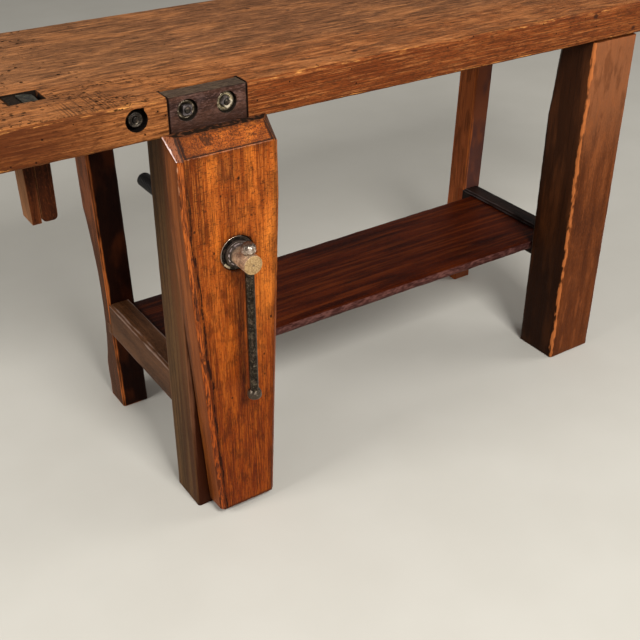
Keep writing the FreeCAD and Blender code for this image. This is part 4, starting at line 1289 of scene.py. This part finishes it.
def collar_finish():
    low, high = in_mm("screw_collar")
    middle = (low + high) / 2
    radius = (high.x - low.x) / 2
    iron = iron_finish(
        "collar iron", (0.010, 0.008, 0.006), (0.034, 0.026, 0.020), (0.11, 0.082, 0.064),
        shift=113.0)
    around = iron.away_from(middle, axis=1)
    # painted highlight: a pale arc on the upper left of the rim
    upper_left = (iron.z * 0.8 - iron.x - (middle.z * 0.8 - middle.x)).between(8.0, 24.0)
    rim = around.between(radius - 2.2, radius - 1.4) * iron.y.between(low.y + 2.4, low.y + 1.6)
    iron.lay(rim * upper_left, (0.62, 0.46, 0.33), roughness=0.3)
    # painted highlight: a cream fleck on the lower left of the rim
    lower_left = Vector((middle.x - 0.66 * radius, low.y, middle.z - 0.66 * radius))
    fleck = (iron.away_from(lower_left) + iron.noise(5.0, shift=119.0) * 8.0).between(12.4, 10.4)
    iron.lay(fleck * around.between(radius - 6.0, radius - 4.0), (0.80, 0.66, 0.44), roughness=0.4)
    return iron.done()


# %% Finishes of the washers and the stop's plate
def washer_finish():
    low, high = in_mm("bolt_washers")
    radius = (high.z - low.z) / 2
    plate = iron_finish(
        "washer plating", (0.040, 0.030, 0.018), (0.105, 0.080, 0.046), (0.26, 0.21, 0.13), 0.34,
        rust_share=0.25, shift=63.0)
    left_middle = Vector((low.x + radius, 0.0, (low.z + high.z) / 2))
    right_middle = Vector((high.x - radius, 0.0, (low.z + high.z) / 2))
    right = plate.x.between(left_middle.x + 20.0, right_middle.x - 20.0)
    patchy = plate.noise(4.0, shift=67.0, detail=3.0).between(0.42, 0.58)
    brass = plate.mix(patchy, (0.34, 0.265, 0.140), (0.80, 0.68, 0.43))
    plate.lay(right * 0.85, brass)
    for middle in (left_middle, right_middle):
        away = plate.away_from(middle, axis=1)
        # partly rubbed metal and partly a painted highlight: the bright bead round each nut
        rubbed = plate.noise(4.0, shift=69.0, detail=3.0).between(0.44, 0.56)
        bead = plate.mix(rubbed, (0.12, 0.090, 0.058), (0.56, 0.45, 0.33))
        plate.lay(away.inside(12.4, 13.4, 0.4) * 0.8, bead, roughness=0.35)
        # painted shadow: a dark ring round the left nut
        plate.lay(away.between(11.0, 10.4) * (1 - right) * 0.85, (0.010, 0.008, 0.007))
    # painted shadow: a dark ring round the right nut
    near = plate.away_from(right_middle, axis=1).between(10.8, 9.8)
    plate.lay(right * near * 0.85, (0.010, 0.008, 0.006))
    return plate.done()


def plate_finish():
    low, high = in_mm("stop_plate_screw")
    radius = (high.x - low.x) / 2
    plate = iron_finish(
        "stop plate", (0.012, 0.011, 0.008), (0.028, 0.026, 0.019), (0.075, 0.070, 0.050), 0.65,
        metal=0.15, rust_share=0.15, shift=103.0)
    away = plate.away_from((low + high) / 2, axis=2)
    ring = away.between(radius - 0.6, radius - 0.2) * away.between(radius + 1.4, radius + 0.8)
    plate.lay(ring, (0.014, 0.012, 0.009))
    return plate.done(specular_ior_level=0.15)


# %% Finish of the vise screw
def screw_finish():
    low, high = in_mm("vise_screw")
    middle = (low + high) / 2
    iron = iron_finish(
        "screw steel", (0.20, 0.130, 0.085), (0.50, 0.340, 0.21), (0.90, 0.68, 0.44), 0.32,
        metal=0.5, rust_share=0.15, shift=83.0)
    radius = iron.away_from(middle, axis=1)
    flange = iron.y.between(low.y + 38.0, low.y + 45.0)
    iron.lay(flange * 0.92, (0.026, 0.018, 0.014))
    # painted highlight: a pale arc on the flange's small fillet, broken by streaks
    streak = iron.noise(5.0, shift=87.0, detail=3.0).between(0.46, 0.56)
    ring = radius.between(17.6, 18.2) * radius.between(20.4, 19.6)
    iron.lay(flange * ring * streak, (0.72, 0.58, 0.56))
    upper = iron.z.between(middle.z - 4.0, middle.z + 13.0)
    upper = upper * iron.y.between(low.y + 6.0, low.y + 20.0)
    iron.lay(upper * 0.42, (0.060, 0.042, 0.036))
    end = iron.y.between(low.y + 1.2, low.y + 0.6)
    mottle = iron.noise(2.6, shift=91.0, detail=4.0, rough=0.6).between(0.42, 0.58)
    iron.lay(end, iron.mix(mottle, (0.25, 0.145, 0.052), (0.44, 0.280, 0.120)), roughness=0.6)
    dot = radius.between(2.4, 1.4) * end
    iron.lay(dot * 0.8, (0.11, 0.065, 0.030), depth=-0.8)
    behind = iron.y.between(low.y + 53.0, low.y + 56.0)
    iron.lay(behind, (0.016, 0.014, 0.013), roughness=0.45)
    # painted shade: the thread's core is laid darker than its ridges
    iron.lay(behind * radius.between(13.2, 12.6), (0.003, 0.003, 0.003), roughness=0.8)
    iron.set(metallic=0.5 - end * 0.4 - behind * 0.4)
    return iron.done()


screw_steel = screw_finish()

# %% [markdown]
# The screw. Its head, flange and neck are turned. The thread behind them is one ridge that
# climbs a helix, so a tree makes it: a spiral curve that carries a small outline along.

# %% The thread's tree
def make_thread_tree():
    sizes = ("Radius", "Pitch", "Turns", "Ridge Width", "Ridge Height")
    tree = Tree("square thread", *[(size, "Float") for size in sizes])
    climb = tree.math("MULTIPLY", tree.given["Pitch"], tree.given["Turns"])
    spiral = tree.node("GeometryNodeCurveSpiral", values={
        "Resolution": 40, "Rotations": tree.given["Turns"], "Start Radius": tree.given["Radius"],
        "End Radius": tree.given["Radius"], "Height": climb})
    upright = tree.node(
        "GeometryNodeSetCurveNormal", {"mode": "Z_UP"}, {"Curve": spiral})
    outline = tree.node("GeometryNodeCurvePrimitiveQuadrilateral", {"mode": "TRAPEZOID"}, {
        "Bottom Width": tree.given["Ridge Width"],
        "Top Width": tree.math("MULTIPLY", tree.given["Ridge Width"], 0.55),
        "Height": tree.given["Ridge Height"], "Offset": 0.0})
    ridge = tree.node("GeometryNodeCurveToMesh", values={
        "Curve": upright, "Profile Curve": outline, "Fill Caps": True})
    return tree.close(ridge)


# %% The vise screw
screw_low, screw_high = in_mm("vise_screw")
axis_x = (screw_low.x + screw_high.x) / 2
axis_z = (screw_low.z + screw_high.z) / 2
head_y = screw_low.y
length = screw_high.y - head_y
head_radius, flange_radius, shank_radius, neck_radius, core_radius = 16.5, 23.5, 14, 10, 11.2
flange_start, flange_end, neck_start, neck_end, shank_end = 46, 52.6, 68, 76, 148
mesh = bmesh.new()
turned(mesh, [
    (0, 0), (head_radius - 0.6, 0), (head_radius, 1.0), (head_radius, flange_start),
    (18.0, flange_start), (flange_radius - 0.9, flange_start), (flange_radius, flange_start + 0.9),
    (flange_radius, flange_end), (shank_radius, flange_end), (shank_radius, neck_start),
    (neck_radius, neck_start), (neck_radius, neck_end), (shank_radius, neck_end),
    (shank_radius, shank_end), (core_radius, shank_end + 3), (core_radius, length - 2),
    (core_radius - 2, length), (0, length),
], (axis_x, head_y, axis_z), ease=1.3)
finished("vise_screw", mesh, screw_steel, angle=0.9)

# %% The thread
pitch = 6
thread_start = head_y + 150.0
turns = (screw_high.y - thread_start - 5.0) / pitch
thread = as_object("vise_screw_thread", bmesh.new())
run_tree(
    thread, make_thread_tree(), Radius=12.3 * MM, Pitch=pitch * MM, Turns=turns,
    Material=screw_steel, **{"Ridge Width": 3.4 * MM, "Ridge Height": 2.7 * MM})
thread.data.transform(Matrix.Rotation(-math.pi / 2, 4, "X"))
thread.data.transform(Matrix.Translation(Vector((axis_x, thread_start, axis_z)) * MM))
print("thread:", len(thread.data.polygons), "faces,", [round(v, 4) for v in thread.dimensions])
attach(thread, "screw_body")

# %% [markdown]
# The loose bar and its knobs, the collar, the washers and the nuts. Each is a turned outline, a
# touch inside its plain solid. A square nut is turned too: its rings stop at four flats, and the
# cone at its front is where the smith turned the corners off.

# %% Bar and knobs
bar_low, bar_high = in_mm("tommy_bar")
knob_z = in_mm("bar_end_knob")[0].z
bar_y = (bar_low.y + bar_high.y) / 2
shaft = bar_high.z - bar_low.z
bar_radius, knob_radius = 7.9, 12.4
knob_outline = [
    (0, 0), (9.5, 0), (knob_radius, 2.5), (knob_radius, 11), (9.0, 16), (4, 17), (0, 17)]
bar_outline = [
    (0, 0), (9, 0), (knob_radius, 3), (knob_radius, 12), (9.5, 16.6), (bar_radius, 19),
    (bar_radius, shaft), (0, shaft)]
mesh = bmesh.new()
turned(mesh, knob_outline, (axis_x, bar_y, knob_z), (0, 0, 1), ease=3.0)
finished("bar_end_knob", mesh, knob_finish(), angle=1.2)
mesh = bmesh.new()
turned(mesh, bar_outline, (axis_x, bar_y, bar_low.z), (0, 0, 1), ease=2.6)
finished("tommy_bar", mesh, bar_finish(), angle=1.2)

# %% Collar and washers
collar_y = in_mm("screw_collar")[0].y
bore, rim = 15.2, 30.8
mesh = bmesh.new()
turned(
    mesh, [(bore, 0.6), (rim - 1.4, 0), (rim, 1.4), (rim, 5), (bore, 5)],
    (axis_x, collar_y, axis_z))
finished("screw_collar", mesh, collar_finish())
washer_low, washer_high = in_mm("bolt_washers")
washer_radius = (washer_high.z - washer_low.z) / 2
bolt_z = washer_low.z + washer_radius
washer_places = [washer_low.x + washer_radius, washer_high.x - washer_radius]
washer_outline = [
    (5.6, 0.7), (11.8, 0.7), (12.4, 0), (13.6, 0), (14.3, 0.8), (15.4, 1.0), (15.4, 2.5), (5.6, 2.5)]
mesh = bmesh.new()
for x in washer_places:
    turned(mesh, washer_outline, (x, washer_low.y, bolt_z), ease=0.4)
finished("bolt_washers", mesh, washer_finish())

# %% Nuts
nut_y = in_mm("square_nuts")[0].y
nut_half, nut_turns = 7.5, (0.067, 0.733)
nut_outline = [(5.2, 1.4), (6.0, 0), (9.4, 0), (10.6, 0.8), (10.6, 6.5), (5.2, 6.5)]
mesh = bmesh.new()
for x, turn in zip(washer_places, nut_turns):
    turned(mesh, nut_outline, (x, nut_y, bolt_z), ease=0.3, flats=nut_half, turn=turn)
finished("square_nuts", mesh, nut_finish(), angle=0.4)

round_low, round_high = in_mm("round_nut")
round_x = (round_low.x + round_high.x) / 2
round_outline = [
    (5.1, 0.8), (6.4, 0), (7.4, 0), (8.0, 0.9), (8.9, 0.9), (9.5, 0), (10.7, 0), (11.4, 0.7),
    (11.4, 10), (5.1, 10)]
mesh = bmesh.new()
turned(mesh, round_outline, (round_x, round_low.y, bolt_z), ease=0.4)
finished("round_nut", mesh, dark_iron, angle=0.4)

# %% Bolts
bolt_low, bolt_high = in_mm("tie_bolts")
bolt_radius, head_thick = 4.9, 8.2
head_half = (bolt_high.z - bolt_low.z) / 2
head_outline = [(0, -head_thick), (15.6, -head_thick), (15.6, -1.6), (11.2, 0), (0, 0)]
spans = [(x, bolt_low.y, bolt_high.y) for x in washer_places]
spans.append((round_x, round_low.y - 1.5, bolt_high.y - 6.0))
mesh = bmesh.new()
for x, front, back in spans:
    reach = back - front - head_thick
    shank_outline = [
        (0, 0), (bolt_radius - 1.0, 0), (bolt_radius, 1.0), (bolt_radius, reach), (0, reach)]
    turned(mesh, shank_outline, (x, front, bolt_z), ease=0.4, segments=32)
    turned(mesh, head_outline, (x, back, bolt_z), ease=0.4, flats=head_half)
finished("tie_bolts", mesh, dark_iron, angle=0.4)

# %% [markdown]
# The pin that sets the gap at the chop's foot has a tapered point, which finds its hole, and a
# square handle. It is one turned shank and one turned head that stops at four flats.

# %% The guide's pin
pin_low, pin_high = in_mm("guide_pin")
pin_place = (pin_low.x, (pin_low.y + pin_high.y) / 2, (pin_low.z + pin_high.z) / 2)
pin_radius, pin_length, pin_end = 4.95, 52.2, 66.0
pin_half = (pin_high.z - pin_low.z) / 2
mesh = bmesh.new()
turned(
    mesh, [(0, 0), (3.2, 0), (pin_radius, 2.4), (pin_radius, pin_length), (0, pin_length)],
    pin_place, (1, 0, 0), ease=0.8, segments=40)
turned(
    mesh, [(0, 52.0), (9.8, 52.0), (9.8, pin_end - 1.4), (7.2, pin_end), (0, pin_end)],
    pin_place, (1, 0, 0), ease=0.5, flats=pin_half)
finished("guide_pin", mesh, dark_iron, angle=0.4)

# %% [markdown]
# The last pieces are small or hidden. Three are worn like the timber, with little depth. The
# screws of the stop's plate and of the nut keep their plain solids and only get a finish.

# %% Small plates and the last nodes
worn("stop_plate", plate_finish(), arris=0.5, pitch=8.0, shortest=6.0,
     Depth=0.2 * MM, Unevenness=0.1 * MM, Seed=14.0)
worn("vise_nut", dark_iron, arris=0.8, pitch=10.0,
     Depth=0.3 * MM, Unevenness=0.2 * MM, Seed=15.0)
worn("garter_key", guide_wood, arris=0.6, pitch=8.0,
     Depth=0.2 * MM, Unevenness=0.15 * MM, Seed=16.0)
for node in ("stop_plate_screw", "nut_screws"):
    coat(frame["nodes"][node], dark_iron)
